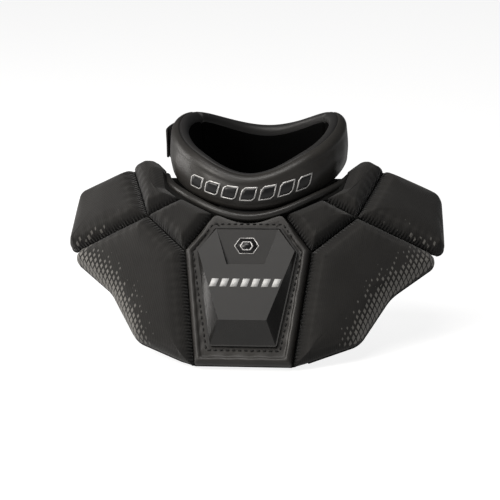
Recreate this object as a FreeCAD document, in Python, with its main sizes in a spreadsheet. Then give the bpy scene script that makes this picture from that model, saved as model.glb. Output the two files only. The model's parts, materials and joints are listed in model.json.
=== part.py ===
"""Goalkeeper's neck guard with a sternum and collarbone bib.

A padded collar closes behind the neck with a hook-and-loop tab, and a quilted bib hangs from
its front edge.  Millimetres, +Z up, the chest faces -Y, +X is the wearer's left.  The origin is
the middle of the neck opening.  Angles round the collar run from the front (0) to the wearer's
left (+90) and to the nape (180).
"""
import FreeCAD, Part
import math
import os
from FreeCAD import Matrix, Placement, Rotation, Vector

doc = FreeCAD.newDocument("neck_guard")

# ------------------------------------------------------------------ driving dimensions
SIZES = [
    # collar, in layers from the neck outwards
    ("neck_radius", "66"),
    ("skin", "1.5"),
    ("cut_layer", "1.0"),
    ("collar_foam", "12"),
    ("layer_gap", "0.2"),
    ("rim_front", "0"),
    ("rim_cheek", "17"),
    ("rim_side", "33"),
    ("rim_end", "34"),
    ("rim_nape", "12"),
    ("base_front", "-33"),
    ("base_cheek", "-23"),
    ("base_side", "-9"),
    ("base_end", "-14"),
    ("base_nape", "-46"),
    ("collar_end_angle", "118"),
    ("cover_top_radius", "8.2"),
    ("base_radius", "6"),
    ("rim_radius", "5"),
    ("rim_turn_in", "9"),
    ("end_cap", "1.4"),
    ("hinge_gap", "0.6"),
    ("badge", "0.8"),
    ("badge_front", "-14.5"),
    ("badge_cheek", "-4.5"),
    ("badge_half_height", "5.5"),
    ("badge_angle", "43"),
    # closure
    ("loop_pile", "1.5"),
    ("hook_pile", "1.3"),
    ("strap", "2.0"),
    ("strap_bottom", "-2"),
    ("strap_top", "26"),
    ("tab_angle", "120"),
    ("tab_tip_angle", "87"),
    ("tab_root_angle", "138"),
    ("pile_margin", "2"),
    # bib landmarks
    ("sternum_lean", "30.2"),
    ("panel_y", "-84"),
    ("panel_z", "-48.9"),
    ("panel_top_half", "33"),
    ("panel_top_drop", "-11.2"),
    ("panel_crown_half", "30.9"),
    ("panel_crown_drop", "-12"),
    ("panel_dip_drop", "-0.5"),
    ("panel_dip_radius", "45"),
    ("panel_wide_half", "57.4"),
    ("panel_wide_drop", "21.5"),
    ("panel_low_half", "44"),
    ("panel_low_drop", "127"),
    ("node_x", "96.3"),
    ("node_y", "-65.5"),
    ("node_z", "-42.8"),
    ("notch_x", "117.3"),
    ("notch_y", "-13.3"),
    ("notch_z", "-13.5"),
    ("collarbone_x", "67"),
    ("collarbone_y", "-61.6"),
    ("shoulder_nip_x", "81"),
    ("shoulder_nip_y", "-46.8"),
    ("shoulder_inner_x", "86.5"),
    ("shoulder_inner_y", "-25"),
    ("shoulder_top_x", "98.8"),
    ("shoulder_top_y", "-10"),
    ("tip_x", "175"),
    ("tip_z", "-85.2"),
    ("cap_corner_x", "169.5"),
    ("cap_corner_z", "-40"),
    ("waist_x", "127.7"),
    ("waist_z", "-111.5"),
    ("hem_x", "101"),
    ("hem_z", "-147"),
    ("hem_inner_out", "13.3"),
    ("hem_inner_z", "-156.3"),
    # bib build-up
    ("pad_thickness", "14"),
    ("pad_bevel", "7"),
    ("pad_lip", "5"),
    ("panel_thickness", "12"),
    ("panel_bevel", "3.5"),
    ("pad_cover", "1.0"),
    ("liner", "1.2"),
    ("liner_overhang", "1.2"),
    ("seam_gap", "0.8"),
    ("seam_overlap", "0.4"),
    ("panel_corner_radius", "6"),
    ("crest_radius", "10"),
    ("tip_radius", "9.5"),
    ("waist_radius", "45"),
    ("hem_radius", "24"),
    ("hem_inner_radius", "12"),
    ("cap_corner_radius", "14"),
    ("shield_corner_radius", "3"),
    ("piping_radius", "3.3"),
    ("piping_stand_off", "2.0"),
    ("piping_front", "-36.5"),
    ("piping_cheek", "-21.7"),
    ("piping_end", "-16"),
    ("piping_end_angle", "79"),
    ("pad_neck_setback", "-1.5"),
    ("gusset", "1.2"),
    ("gusset_angle", "21"),
    ("gusset_inner", "74"),
    ("gusset_gap", "0.4"),
    # sternum shield
    ("shield_top_half", "30.3"),
    ("shield_top_drop", "1.2"),
    ("shield_wide_half", "46.3"),
    ("shield_wide_drop", "24"),
    ("shield_low_half", "30.5"),
    ("shield_low_drop", "111"),
    ("shield_flange", "2.4"),
    ("shield_step", "1.2"),
    ("shield_rise_top", "1.2"),
    ("shield_rise_low", "10"),
    ("plateau_low_half", "21.5"),
    ("plateau_low_drop", "89"),
    ("pocket_low_half", "16.5"),
    ("pocket_low_drop", "36"),
    ("pocket_floor", "1.0"),
    ("shield_seat", "2.0"),
    ("shield_clearance", "0.3"),
]
JOIN = 1e-6
sheet = doc.addObject("Spreadsheet::Sheet", "sizes")
for row, (alias, value) in enumerate(SIZES, start=1):
    sheet.set(f"A{row}", alias)
    sheet.set(f"B{row}", value)
    sheet.setAlias(f"B{row}", alias)
doc.recompute()


def size(alias):
    """The value of one cell of the sheet."""
    return float(sheet.get(alias))


# ------------------------------------------------------------------ sketches and bodies
def new_body(label):
    """A PartDesign body whose label names its file."""
    body = doc.addObject("PartDesign::Body", label)
    body.Label = label
    return body


def plane_of(body, role):
    """One of the body's own origin planes, by its role."""
    return next(f for f in body.Origin.OriginFeatures if f.Role == role)


def add_sketch(body, name, geometry, role="XY_Plane", offset=None, height=None):
    """A closed sketch on an origin plane, shifted by a placement or by a sheet expression."""
    sketch = body.newObject("Sketcher::SketchObject", name)
    sketch.AttachmentSupport = (plane_of(body, role), [""])
    sketch.MapMode = "FlatFace"
    if offset is not None:
        sketch.AttachmentOffset = offset
    if height is not None:
        sketch.setExpression("AttachmentOffset.Base.z", height)
    sketch.addGeometry(geometry, False)
    return sketch


def add_loft(body, name, sketches, ruled, kind="PartDesign::AdditiveLoft"):
    """A loft through sketches of equal edge count."""
    loft = body.newObject(kind, name)
    loft.Profile = sketches[0]
    loft.Sections = sketches[1:]
    loft.Ruled = ruled
    for sketch in sketches:
        sketch.Visibility = False
    return loft


def add_pad(body, name, sketch, length, backwards=False):
    """A pad whose length is a sheet expression."""
    pad = body.newObject("PartDesign::Pad", name)
    pad.Profile = sketch
    pad.setExpression("Length", length)
    pad.Reversed = backwards
    return pad


# ------------------------------------------------------------------ outlines
def lines_meet(p, d, q, e):
    """Where the line through p along d meets the line through q along e, in the plane."""
    cross = d.x * e.y - d.y * e.x
    t = ((q.x - p.x) * e.y - (q.y - p.y) * e.x) / cross
    return Vector(p.x + t * d.x, p.y + t * d.y, 0)


def set_back(points, setbacks):
    """The polygon with side i (from point i to the next) moved inwards by setbacks[i]."""
    count = len(points)
    area = sum(a.x * b.y - b.x * a.y for a, b in zip(points, points[1:] + points[:1]))
    turn = 1 if area > 0 else -1
    sides = []
    for i in range(count):
        a, b = points[i], points[(i + 1) % count]
        along = (b - a).normalize()
        inward = Vector(-along.y, along.x, 0) * turn
        sides.append((a + inward * setbacks[i], along))
    return [lines_meet(*sides[i - 1], *sides[i]) for i in range(count)]


def rounded(points, radii):
    """Line and arc geometry of a polygon; a corner of radius zero stays sharp."""
    count = len(points)
    joints = []
    for i in range(count):
        corner = points[i]
        if not radii[i]:
            joints.append((corner, None, corner))
            continue
        back = (points[i - 1] - corner).normalize()
        ahead = (points[(i + 1) % count] - corner).normalize()
        half = math.acos(max(-1, min(1, back.dot(ahead)))) / 2
        reach = radii[i] / math.tan(half)
        middle = (back + ahead).normalize()
        centre = corner + middle * (radii[i] / math.sin(half))
        joints.append((corner + back * reach, centre - middle * radii[i], corner + ahead * reach))
    geometry = []
    for i, (start, mid, end) in enumerate(joints):
        if mid is not None:
            geometry.append(Part.Arc(start, mid, end))
        geometry.append(Part.LineSegment(end, joints[(i + 1) % count][0]))
    return geometry


def shrunk(points, radii, inset):
    """The rounded outline moved inwards all round, with its corner radii kept concentric."""
    count = len(points)
    area = sum(a.x * b.y - b.x * a.y for a, b in zip(points, points[1:] + points[:1]))
    moved = set_back(points, [inset] * count)
    new_radii = []
    for i in range(count):
        a, b, c = points[i - 1], points[i], points[(i + 1) % count]
        bend = (b.x - a.x) * (c.y - b.y) - (b.y - a.y) * (c.x - b.x)
        grow = -inset if bend * area > 0 else inset
        new_radii.append(max(0, radii[i] + grow) if radii[i] else 0)
    return rounded(moved, new_radii)


# ------------------------------------------------------------------ the bib's facets
LEAN = math.radians(size("sternum_lean"))
PANEL_ORIGIN = Vector(0, size("panel_y"), size("panel_z"))
PANEL_DOWN = Vector(0, -math.sin(LEAN), -math.cos(LEAN))


def on_panel(half, drop):
    """A point of the sternum panel's back plane, by half width and distance down the panel."""
    return PANEL_ORIGIN + Vector(half, 0, 0) + PANEL_DOWN * drop


def normal_of(a, b, c):
    """The unit normal of a plane through three points, facing away from the chest."""
    n = (b - a).cross(c - a).normalize()
    return n if n.y < 0 else n * -1


def at_height(a, n, x, z):
    """The point of a plane at a given x and z."""
    return Vector(x, a.y - (n.x * (x - a.x) + n.z * (z - a.z)) / n.y, z)


def at_depth(a, n, x, y):
    """The point of a plane at a given x and y."""
    return Vector(x, y, a.z - (n.x * (x - a.x) + n.y * (y - a.y)) / n.z)


def landmarks(side):
    """The corners of one wing on the back plane of its pads; side is +1 for the wearer's left."""
    top = on_panel(side * size("panel_top_half"), size("panel_top_drop"))
    wide = on_panel(side * size("panel_wide_half"), size("panel_wide_drop"))
    low = on_panel(side * size("panel_low_half"), size("panel_low_drop"))
    node = Vector(side * size("node_x"), size("node_y"), size("node_z"))
    notch = Vector(side * size("notch_x"), size("notch_y"), size("notch_z"))
    collarbone_plane = (node, normal_of(node, wide, top))
    chest_plane = (node, normal_of(node, wide, low))
    bone = at_depth(*collarbone_plane, side * size("collarbone_x"), size("collarbone_y"))
    shoulder_plane = (node, normal_of(node, bone, notch))
    tip = at_height(*chest_plane, side * size("tip_x"), size("tip_z"))
    cap_plane = (node, normal_of(node, tip, notch))
    return {
        "top": top,
        "wide": wide,
        "low": low,
        "node": node,
        "notch": notch,
        "bone": bone,
        "tip": tip,
        "waist": at_height(*chest_plane, side * size("waist_x"), size("waist_z")),
        "hem": at_height(*chest_plane, side * size("hem_x"), size("hem_z")),
        "hem_inner": at_height(
            *chest_plane, side * (size("panel_low_half") + size("hem_inner_out")),
            size("hem_inner_z"),
        ),
        "cap_corner": at_height(*cap_plane, side * size("cap_corner_x"), size("cap_corner_z")),
        "nip": at_depth(*shoulder_plane, side * size("shoulder_nip_x"), size("shoulder_nip_y")),
        "inner": at_depth(*shoulder_plane, side * size("shoulder_inner_x"), size("shoulder_inner_y")),
        "crest": at_depth(*shoulder_plane, side * size("shoulder_top_x"), size("shoulder_top_y")),
    }


# One line per pad: its corners in order, with the corner's radius and what the side that starts
# there is: a seam within the wing, a seam that the bib folds at, a free edge, the neckline or a
# bare edge beside the piping, where the liner has no overhang.
# Corners where seams meet stay sharp, so that the bevels mitre.
SHARP = 0
PADS = {
    "clavicle": [
        ("node", SHARP, "seam"), ("wide", SHARP, "fold"), ("top", SHARP, "neck"),
        ("bone", SHARP, "seam"),
    ],
    "shoulder": [
        ("node", SHARP, "seam"), ("bone", SHARP, "bare"), ("nip", SHARP, "bare"),
        ("inner", SHARP, "free"), ("crest", size("crest_radius"), "free"), ("notch", SHARP, "fold"),
    ],
    "chest": [
        ("node", SHARP, "fold"), ("tip", size("tip_radius"), "free"),
        ("waist", size("waist_radius"), "free"), ("hem", size("hem_radius"), "free"),
        ("hem_inner", size("hem_inner_radius"), "free"), ("low", SHARP, "fold"),
        ("wide", SHARP, "seam"),
    ],
    "cap": [
        ("node", SHARP, "fold"), ("notch", SHARP, "free"),
        ("cap_corner", size("cap_corner_radius"), "free"), ("tip", size("tip_radius"), "fold"),
    ],
}


def facet(side, name):
    """A pad's placement, with its own z facing out of the chest, and its corners in that frame."""
    marks = landmarks(side)
    points = [marks[corner] for corner, _, _ in PADS[name]]
    origin = points[0]
    across = (points[1] - origin).normalize()
    out = normal_of(points[0], points[1], points[-1])
    up = out.cross(across)
    frame = Placement(
        Matrix(
            across.x, up.x, out.x, origin.x,
            across.y, up.y, out.y, origin.y,
            across.z, up.z, out.z, origin.z,
            0, 0, 0, 1,
        )
    )
    flat = [frame.inverse().multVec(p) for p in points]
    return frame, [Vector(p.x, p.y, 0) for p in flat]


def setbacks(name, **amounts):
    """How far each side of a pad's outline is moved in, by what that side is."""
    return [amounts[kind] for _, _, kind in PADS[name]]


def corner_radii(name):
    """The corner radii of a pad's outline."""
    return [radius for _, radius, _ in PADS[name]]


def straight_block(body, name, outline, top, cavity=False):
    """A straight block, or a cavity open at the back; top is its height, a sheet expression."""
    sketch = add_sketch(body, f"{name}_outline", outline)
    block = body.newObject("PartDesign::Pocket" if cavity else "PartDesign::Pad", name)
    block.Profile = sketch
    block.setExpression("Length", top)
    block.Reversed = cavity
    sketch.Visibility = False
    doc.recompute()
    return block


def cut_back(body, name, height, side, bevel):
    """Bevels the edges at a height: side down the walls and bevel in over the front."""
    doc.recompute()
    base = body.Tip
    edges = [
        f"Edge{i}" for i, edge in enumerate(base.Shape.Edges, start=1)
        if all(abs(v.Z - height) < JOIN for v in edge.Vertexes)
    ]
    chamfer = body.newObject("PartDesign::Chamfer", name)
    chamfer.Base = (base, edges)
    chamfer.ChamferType = "Two distances"
    chamfer.setExpression("Size", side)
    chamfer.setExpression("Size2", bevel)
    return chamfer


def pad_pair(side_name, side, name):
    """One quilted pad: a foam core and the sewn cover over its front and sides."""
    frame, corners = facet(side, name)
    half_seam = size("seam_gap") / 2
    sides = setbacks(
        name, seam=half_seam, fold=half_seam, free=0,
        neck=size("pad_neck_setback"), bare=0,
    )
    outline = set_back(corners, sides)
    radii = corner_radii(name)
    wall = size("pad_cover")
    gap = size("layer_gap")

    thickness = size("pad_thickness")
    roof = "sizes.pad_thickness - sizes.pad_cover"

    cover = new_body(f"{side_name}_{name}_cover")
    straight_block(cover, "outside", shrunk(outline, radii, 0), "sizes.pad_thickness")
    straight_block(cover, "inside", shrunk(outline, radii, wall), roof, cavity=True)
    cut_back(cover, "inner_bevel", thickness - wall, f"{roof} - sizes.pad_lip", "sizes.pad_bevel")
    cut_back(
        cover, "outer_bevel", thickness, "sizes.pad_thickness - sizes.pad_lip", "sizes.pad_bevel"
    )
    cover.Placement = frame

    foam = new_body(f"{side_name}_{name}_foam")
    core = f"{roof} - sizes.layer_gap"
    straight_block(foam, "core", shrunk(outline, radii, wall + gap), core)
    cut_back(foam, "bevel", thickness - wall - gap, f"{core} - sizes.pad_lip", "sizes.pad_bevel")
    foam.Placement = frame


def liner_plate(body, side, name, tag):
    """One facet of a liner sheet, sewn behind its pad and running on under the piping."""
    frame, corners = facet(side, name)
    half_seam = size("seam_gap") / 2
    sides = setbacks(
        name, seam=-size("seam_overlap"), fold=2 * half_seam, free=-size("liner_overhang"),
        neck=2 * half_seam, bare=2 * half_seam,
    )
    outline = set_back(corners, sides)
    back = Placement(Vector(0, 0, -size("layer_gap")), Rotation())
    sketch = add_sketch(
        body, f"{tag}_outline", rounded(outline, corner_radii(name)), offset=frame * back
    )
    add_pad(body, tag, sketch, "sizes.liner", backwards=True)


def wing(side_name, side):
    """A wing's three pads over one folded liner, and the cap pad over its own."""
    for name in PADS:
        pad_pair(side_name, side, name)
    liner = new_body(f"{side_name}_wing_liner")
    for name in ("chest", "clavicle", "shoulder"):
        liner_plate(liner, side, name, name)
    cap_liner = new_body(f"{side_name}_cap_liner")
    liner_plate(cap_liner, side, "cap", "cap")


# ------------------------------------------------------------------ the sternum panel
PANEL_FRAME = Placement(
    Matrix(
        1, 0, 0, PANEL_ORIGIN.x,
        0, -PANEL_DOWN.y, -math.cos(LEAN), PANEL_ORIGIN.y,
        0, -PANEL_DOWN.z, math.sin(LEAN), PANEL_ORIGIN.z,
        0, 0, 0, 1,
    )
)


def hexagon(top, wide, low):
    """A six-sided outline from (half width, drop) pairs, clockwise from the top left."""
    return [
        Vector(-top[0], -top[1], 0), Vector(top[0], -top[1], 0),
        Vector(wide[0], -wide[1], 0), Vector(low[0], -low[1], 0),
        Vector(-low[0], -low[1], 0), Vector(-wide[0], -wide[1], 0),
    ]


def shield_outline():
    """The shield's outline, from the sheet."""
    at = [(size(f"shield_{c}_half"), size(f"shield_{c}_drop")) for c in ("top", "wide", "low")]
    return hexagon(*at)


def panel_outline(hem):
    """The panel's outline, whose top dips to follow the collar; hem is let out at the bottom."""
    crown = (size("panel_crown_half"), -size("panel_crown_drop"))
    wide = (size("panel_wide_half"), -size("panel_wide_drop"))
    low = (size("panel_low_half"), -size("panel_low_drop"))
    points = [
        Vector(-crown[0], crown[1], 0), Vector(0, -size("panel_dip_drop"), 0),
        Vector(crown[0], crown[1], 0), Vector(wide[0], wide[1], 0), Vector(low[0], low[1], 0),
        Vector(-low[0], low[1], 0), Vector(-wide[0], wide[1], 0),
    ]
    half_seam = size("seam_gap") / 2
    return set_back(points, [0, 0, half_seam, half_seam, -hem, half_seam, half_seam])


def sternum_panel():
    """The padded leather panel, its foam, the liner behind it and the seat for the shield."""
    outline = panel_outline(0)
    corner = size("panel_corner_radius")
    radii = [corner, size("panel_dip_radius"), corner] + [SHARP] * (len(outline) - 3)
    wall = size("pad_cover")
    gap = size("layer_gap")
    seat = set_back(shield_outline(), [-size("shield_clearance")] * len(shield_outline()))

    thickness, seat_depth = size("panel_thickness"), size("shield_seat")
    roof = "sizes.panel_thickness - sizes.pad_cover - sizes.shield_seat"

    cover = new_body("sternum_cover")
    straight_block(cover, "outside", rounded(outline, radii), "sizes.panel_thickness")
    straight_block(cover, "inside", shrunk(outline, radii, wall), roof, cavity=True)
    cut_back(
        cover, "inner_bevel", thickness - wall - seat_depth,
        "sizes.panel_bevel - sizes.pad_cover", "sizes.panel_bevel",
    )
    cut_back(cover, "outer_bevel", thickness, "sizes.panel_bevel", "sizes.panel_bevel")
    seat_outline = rounded(seat, [size("shield_corner_radius")] * len(seat))
    seat_sketch = add_sketch(cover, "seat_outline", seat_outline, height="sizes.panel_thickness")
    pocket = cover.newObject("PartDesign::Pocket", "shield_seat")
    pocket.Profile = seat_sketch
    pocket.setExpression("Length", "sizes.shield_seat")
    cover.Placement = PANEL_FRAME

    foam = new_body("sternum_foam")
    straight_block(
        foam, "core", shrunk(outline, radii, wall + gap), f"{roof} - sizes.layer_gap"
    )
    cut_back(
        foam, "bevel", thickness - wall - seat_depth - gap,
        "sizes.panel_bevel - sizes.pad_cover - sizes.layer_gap", "sizes.panel_bevel",
    )
    foam.Placement = PANEL_FRAME

    liner = new_body("sternum_liner")
    sheet_outline = panel_outline(size("liner_overhang"))
    sketch = add_sketch(liner, "outline", rounded(sheet_outline, radii))
    sketch.setExpression("AttachmentOffset.Base.z", "-sizes.layer_gap")
    add_pad(liner, "sheet", sketch, "sizes.liner", backwards=True)
    liner.Placement = PANEL_FRAME


def sternum_shield():
    """The moulded shield: a flange, a wedge that rises towards the chest, and a badge pocket."""
    outline = shield_outline()
    corner = size("shield_corner_radius")
    radii = [corner - size("shield_clearance")] * len(outline)
    step = size("shield_step")
    rise_top, rise_low = size("shield_rise_top"), size("shield_rise_low")
    top_drop, low_drop = size("shield_top_drop") + 2 * step, size("plateau_low_drop")
    flange = size("shield_flange")

    shield = new_body("sternum_shield")
    flange_sketch = add_sketch(shield, "flange_outline", rounded(outline, radii))
    add_pad(shield, "flange", flange_sketch, "sizes.shield_flange")

    foot = set_back(outline, [step] * len(outline))
    foot_sketch = add_sketch(
        shield, "wedge_foot", rounded(foot, [SHARP] * len(foot)), height="sizes.shield_flange"
    )
    slope = math.atan2(rise_low - rise_top, low_drop - top_drop)
    stretch = 1 / math.cos(slope)
    plateau = hexagon(
        (size("shield_top_half") - 1.5 * step, 0),
        (size("shield_wide_half") - 2 * step, (size("shield_wide_drop") - top_drop) * stretch),
        (size("plateau_low_half"), (low_drop - top_drop) * stretch),
    )
    tilt = Placement(
        Vector(0, -top_drop, flange + rise_top), Rotation(Vector(1, 0, 0), -math.degrees(slope))
    )
    plateau_sketch = add_sketch(
        shield, "plateau", rounded(plateau, [SHARP] * len(plateau)), offset=tilt
    )
    add_loft(shield, "wedge", [foot_sketch, plateau_sketch], True)

    floor = flange + size("pocket_floor")
    top_half = size("shield_top_half") - 2 * step
    pocket_outline = [
        Vector(-top_half, -top_drop, 0),
        Vector(top_half, -top_drop, 0),
        Vector(size("pocket_low_half"), -size("pocket_low_drop"), 0),
        Vector(-size("pocket_low_half"), -size("pocket_low_drop"), 0),
    ]
    draft = 2 * size("shield_step")
    wide_outline = set_back(pocket_outline, [-draft] * 4)
    low_sketch = add_sketch(
        shield, "pocket_floor", rounded(pocket_outline, [SHARP] * 4),
        offset=Placement(Vector(0, 0, floor), Rotation()),
    )
    high_sketch = add_sketch(
        shield, "pocket_mouth", rounded(wide_outline, [SHARP] * 4),
        offset=Placement(Vector(0, 0, floor + rise_low), Rotation()),
    )
    add_loft(shield, "badge_pocket", [low_sketch, high_sketch], True, "PartDesign::SubtractiveLoft")
    shield.Placement = PANEL_FRAME * Placement(
        Vector(0, 0, size("panel_thickness") - size("shield_seat") + size("layer_gap")), Rotation()
    )


# ------------------------------------------------------------------ rings round the neck
OUTER = (
    size("neck_radius") + 2 * size("skin") + size("cut_layer") + size("collar_foam")
    + 3 * size("layer_gap")
)
END = size("collar_end_angle")


HALF_TURN = 180
CHEEK = 45
SIDE = 90


def smooth(stations, angle):
    """A smooth curve through (angle, height) stations that starts level at the front."""
    start_a, start_h = stations[0]
    end_a, end_h = stations[-1]
    if end_a == HALF_TURN:
        beyond = (2 * HALF_TURN - stations[-2][0], stations[-2][1])
    else:
        beyond = (2 * end_a - stations[-2][0], 2 * end_h - stations[-2][1])
    points = [(-stations[1][0], stations[1][1])] + stations + [beyond]
    for i in range(1, len(points) - 2):
        (a, low), (b, high) = points[i], points[i + 1]
        if angle <= b:
            span = b - a
            first = (high - points[i - 1][1]) / (b - points[i - 1][0]) * span
            last = (points[i + 2][1] - low) / (points[i + 2][0] - a) * span
            t = (angle - a) / span
            cubic = 2 * (low - high) + first + last
            square = 3 * (high - low) - 2 * first - last
            return ((cubic * t + square) * t + first) * t + low
    return end_h


def ring_height(edge, angle):
    """The height of the collar's rim or base at an angle from the front, either way round."""
    angle = abs(angle)
    if angle > HALF_TURN:
        angle = 2 * HALF_TURN - angle
    stations = [
        (0, size(f"{edge}_front")), (CHEEK, size(f"{edge}_cheek")), (SIDE, size(f"{edge}_side")),
        (END, size(f"{edge}_end")), (HALF_TURN, size(f"{edge}_nape")),
    ]
    return smooth(stations, angle)


def radial(angle):
    """Turns a sketch on the XZ plane to stand radially at an angle from the front."""
    return Placement(Vector(0, 0, 0), Rotation(Vector(0, 1, 0), angle - 90))


def path_geometry(points):
    """A closed outline of straight sides through points."""
    corners = [Vector(r, z, 0) for r, z in points]
    if corners[-1].distanceToPoint(corners[0]) < JOIN:
        corners.pop()
    return [Part.LineSegment(a, b) for a, b in zip(corners, corners[1:] + corners[:1])]


def arc_mid(r, z, radius, right, up):
    """The middle of a quarter arc of that radius round (r, z), towards right and up."""
    reach = radius * math.sqrt(0.5)
    return (r + right * reach, z + up * reach)


def ring(body, name, angles, section):
    """A loft through the radial section at each angle; section(angle) gives its geometry."""
    sketches = [
        add_sketch(body, f"{name}_{i}", section(angle), role="XZ_Plane", offset=radial(angle))
        for i, angle in enumerate(angles)
    ]
    return add_loft(body, name, sketches, True)


def cover_section(angle):
    """The outer skin: from the middle of the rim, round the outside, to the middle of the base."""
    t = size("skin")
    top, low = ring_height("rim", angle), ring_height("base", angle)
    big, small = size("cover_top_radius"), size("base_radius")
    middle = (size("neck_radius") + OUTER) / 2 + size("layer_gap") / 2
    return path_geometry([
        (middle, low), (OUTER - small, low), arc_mid(OUTER - small, low + small, small, 1, -1),
        (OUTER, low + small), (OUTER, top - big), arc_mid(OUTER - big, top - big, big, 1, 1),
        (OUTER - big, top), (OUTER - big, top - t), (OUTER - t, top - big),
        (OUTER - t, low + small), (OUTER - small, low + t), (middle, low + t),
    ])


def rim_section(angle):
    """The rim strip: from the seam on top, over the inner edge and a little way down."""
    t, gap = size("skin"), size("layer_gap")
    top = ring_height("rim", angle)
    inner, bend = size("neck_radius"), size("rim_radius")
    seam = OUTER - size("cover_top_radius") - gap
    return path_geometry([
        (seam, top), (inner + bend, top), arc_mid(inner + bend, top - bend, bend, -1, 1),
        (inner, top - bend), (inner, top - size("rim_turn_in")),
        (inner + t, top - size("rim_turn_in")), (inner + t, top - bend),
        (inner + bend, top - t), (seam, top - t),
    ])


def liner_section(angle):
    """The brushed liner: from under the rim strip, down the inside, to the middle of the base."""
    t, gap = size("skin"), size("layer_gap")
    top, low = ring_height("rim", angle), ring_height("base", angle)
    inner, bend = size("neck_radius"), size("base_radius")
    middle = (inner + OUTER) / 2 - gap / 2
    return path_geometry([
        (inner, top - size("rim_turn_in") - gap), (inner, low + bend),
        arc_mid(inner + bend, low + bend, bend, -1, -1), (inner + bend, low), (middle, low),
        (middle, low + t), (inner + bend, low + t), (inner + t, low + bend),
        (inner + t, top - size("rim_turn_in") - gap),
    ])


def cut_section(angle):
    """The cut-resistant cloth between the liner and the foam."""
    start = size("neck_radius") + size("skin") + size("layer_gap")
    end = start + size("cut_layer")
    top, low = ring_height("rim", angle), ring_height("base", angle)
    high, deep = top - size("rim_radius"), low + size("base_radius")
    return path_geometry([(start, deep), (start, high), (end, high), (end, deep)])


def foam_section(angle):
    """The foam core, which fills the skins."""
    gap = size("layer_gap")
    start = size("neck_radius") + size("skin") + 2 * gap + size("cut_layer")
    end = OUTER - size("skin") - gap
    top = ring_height("rim", angle) - size("skin") - gap
    low = ring_height("base", angle) + size("skin") + gap
    big = size("cover_top_radius") - size("skin") - gap
    small = size("base_radius") - size("skin") - gap
    return path_geometry([
        (start, low + small), (start, top - small), (start + small, top), (end - big, top),
        (end, top - big), (end, low + small), (end - small, low), (start + small, low),
    ])


def whole_section(angle):
    """The collar's whole outline, for the caps that close its ends."""
    top, low = ring_height("rim", angle), ring_height("base", angle)
    inner, bend, small = size("neck_radius"), size("rim_radius"), size("base_radius")
    big = size("cover_top_radius")
    return path_geometry([
        (inner, low + small), (inner, top - bend), arc_mid(inner + bend, top - bend, bend, -1, 1),
        (inner + bend, top), (OUTER - big, top), arc_mid(OUTER - big, top - big, big, 1, 1),
        (OUTER, top - big), (OUTER, low + small),
        arc_mid(OUTER - small, low + small, small, 1, -1), (OUTER - small, low),
        (inner + small, low), arc_mid(inner + small, low + small, small, -1, -1),
        (inner, low + small),
    ])


def strip_section(start, end):
    """A plain strip of the tab's width between two radii."""
    low, high = size("strap_bottom"), size("strap_top")

    def section(_angle):
        return path_geometry([(start, low), (start, high), (end, high), (end, low)])
    return section


def badge_section(angle):
    """The raised badge band on the outside of the collar."""
    middle = smooth([(0, size("badge_front")), (CHEEK, size("badge_cheek"))], abs(angle))
    half = size("badge_half_height")
    start = OUTER + size("layer_gap")
    end = start + size("badge")
    return path_geometry([
        (start, middle - half), (start, middle + half), (end, middle + half), (end, middle - half),
    ])


TURN = 2 * HALF_TURN
PIPE_SIDE = 45
PIPE_RADIUS = size("piping_radius")
PIPE_RING = OUTER + size("piping_stand_off") + PIPE_RADIUS


def piping_height(angle):
    """The height of the neckline piping's middle."""
    stations = [
        (0, size("piping_front")), (CHEEK, size("piping_cheek")),
        (size("piping_end_angle"), size("piping_end")),
    ]
    return smooth(stations, abs(angle))


def piping_section(angle):
    """The neckline piping, as an eight-sided cord."""
    middle = piping_height(angle)
    turns = [math.radians(degrees) for degrees in range(PIPE_SIDE // 2, TURN, PIPE_SIDE)]
    return path_geometry([
        (PIPE_RING + PIPE_RADIUS * math.cos(a), middle + PIPE_RADIUS * math.sin(a)) for a in turns
    ])


def gusset_section(angle):
    """The cloth strip that runs from under the collar's base to the piping."""
    high = ring_height("base", angle) - size("gusset_gap")
    low = high - size("gusset")
    middle = piping_height(angle)
    off = max(0, low - middle, middle - high)
    bite = math.sqrt(max(0, PIPE_RADIUS ** 2 - off ** 2))
    end = PIPE_RING - bite - size("gusset_gap")
    start = size("gusset_inner")
    return path_geometry([(start, low), (start, high), (end, high), (end, low)])


def degrees_of(length):
    """The angle that a length takes at the collar's outer radius."""
    return math.degrees(length / OUTER)


def mirrored(angles):
    """The angles on both sides of the front, in order."""
    return [-a for a in reversed(angles) if a] + list(angles)


# ------------------------------------------------------------------ the collar and its band
ARC_STEP = 12


def spread(start, end):
    """Angles from start to end by way of the arc steps between, which all the rings share."""
    near = ARC_STEP / 4
    first = math.ceil((start + near) / ARC_STEP)
    last = math.floor((end - near) / ARC_STEP)
    return [start] + [ARC_STEP * i for i in range(first, last + 1)] + [end]


def ring_body(label, start, end, section):
    """A body of one ring piece between two angles."""
    body = new_body(label)
    ring(body, "ring", spread(start, end), section)
    return body


CAP = degrees_of(size("end_cap"))
LAYER = degrees_of(size("layer_gap"))
HINGE = degrees_of(size("hinge_gap"))


def padded_ring(prefix, start, end):
    """The layers of a padded ring with a capped end each side."""
    inner_start, inner_end = start + CAP + LAYER, end - CAP - LAYER
    ring_body(f"{prefix}_cover", inner_start, inner_end, cover_section)
    ring_body(f"{prefix}_rim_binding", inner_start, inner_end, rim_section)
    ring_body(f"{prefix}_liner", inner_start, inner_end, liner_section)
    ring_body(f"{prefix}_cut_layer", inner_start, inner_end, cut_section)
    ring_body(f"{prefix}_foam", inner_start, inner_end, foam_section)
    ring_body(f"{prefix}_end_first", start, start + CAP, whole_section)
    ring_body(f"{prefix}_end_last", end - CAP, end, whole_section)


padded_ring("collar", -END, END)
padded_ring("band", END + HINGE, TURN - END - HINGE)
ring_body("collar_badge", -size("badge_angle"), size("badge_angle"), badge_section)

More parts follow.
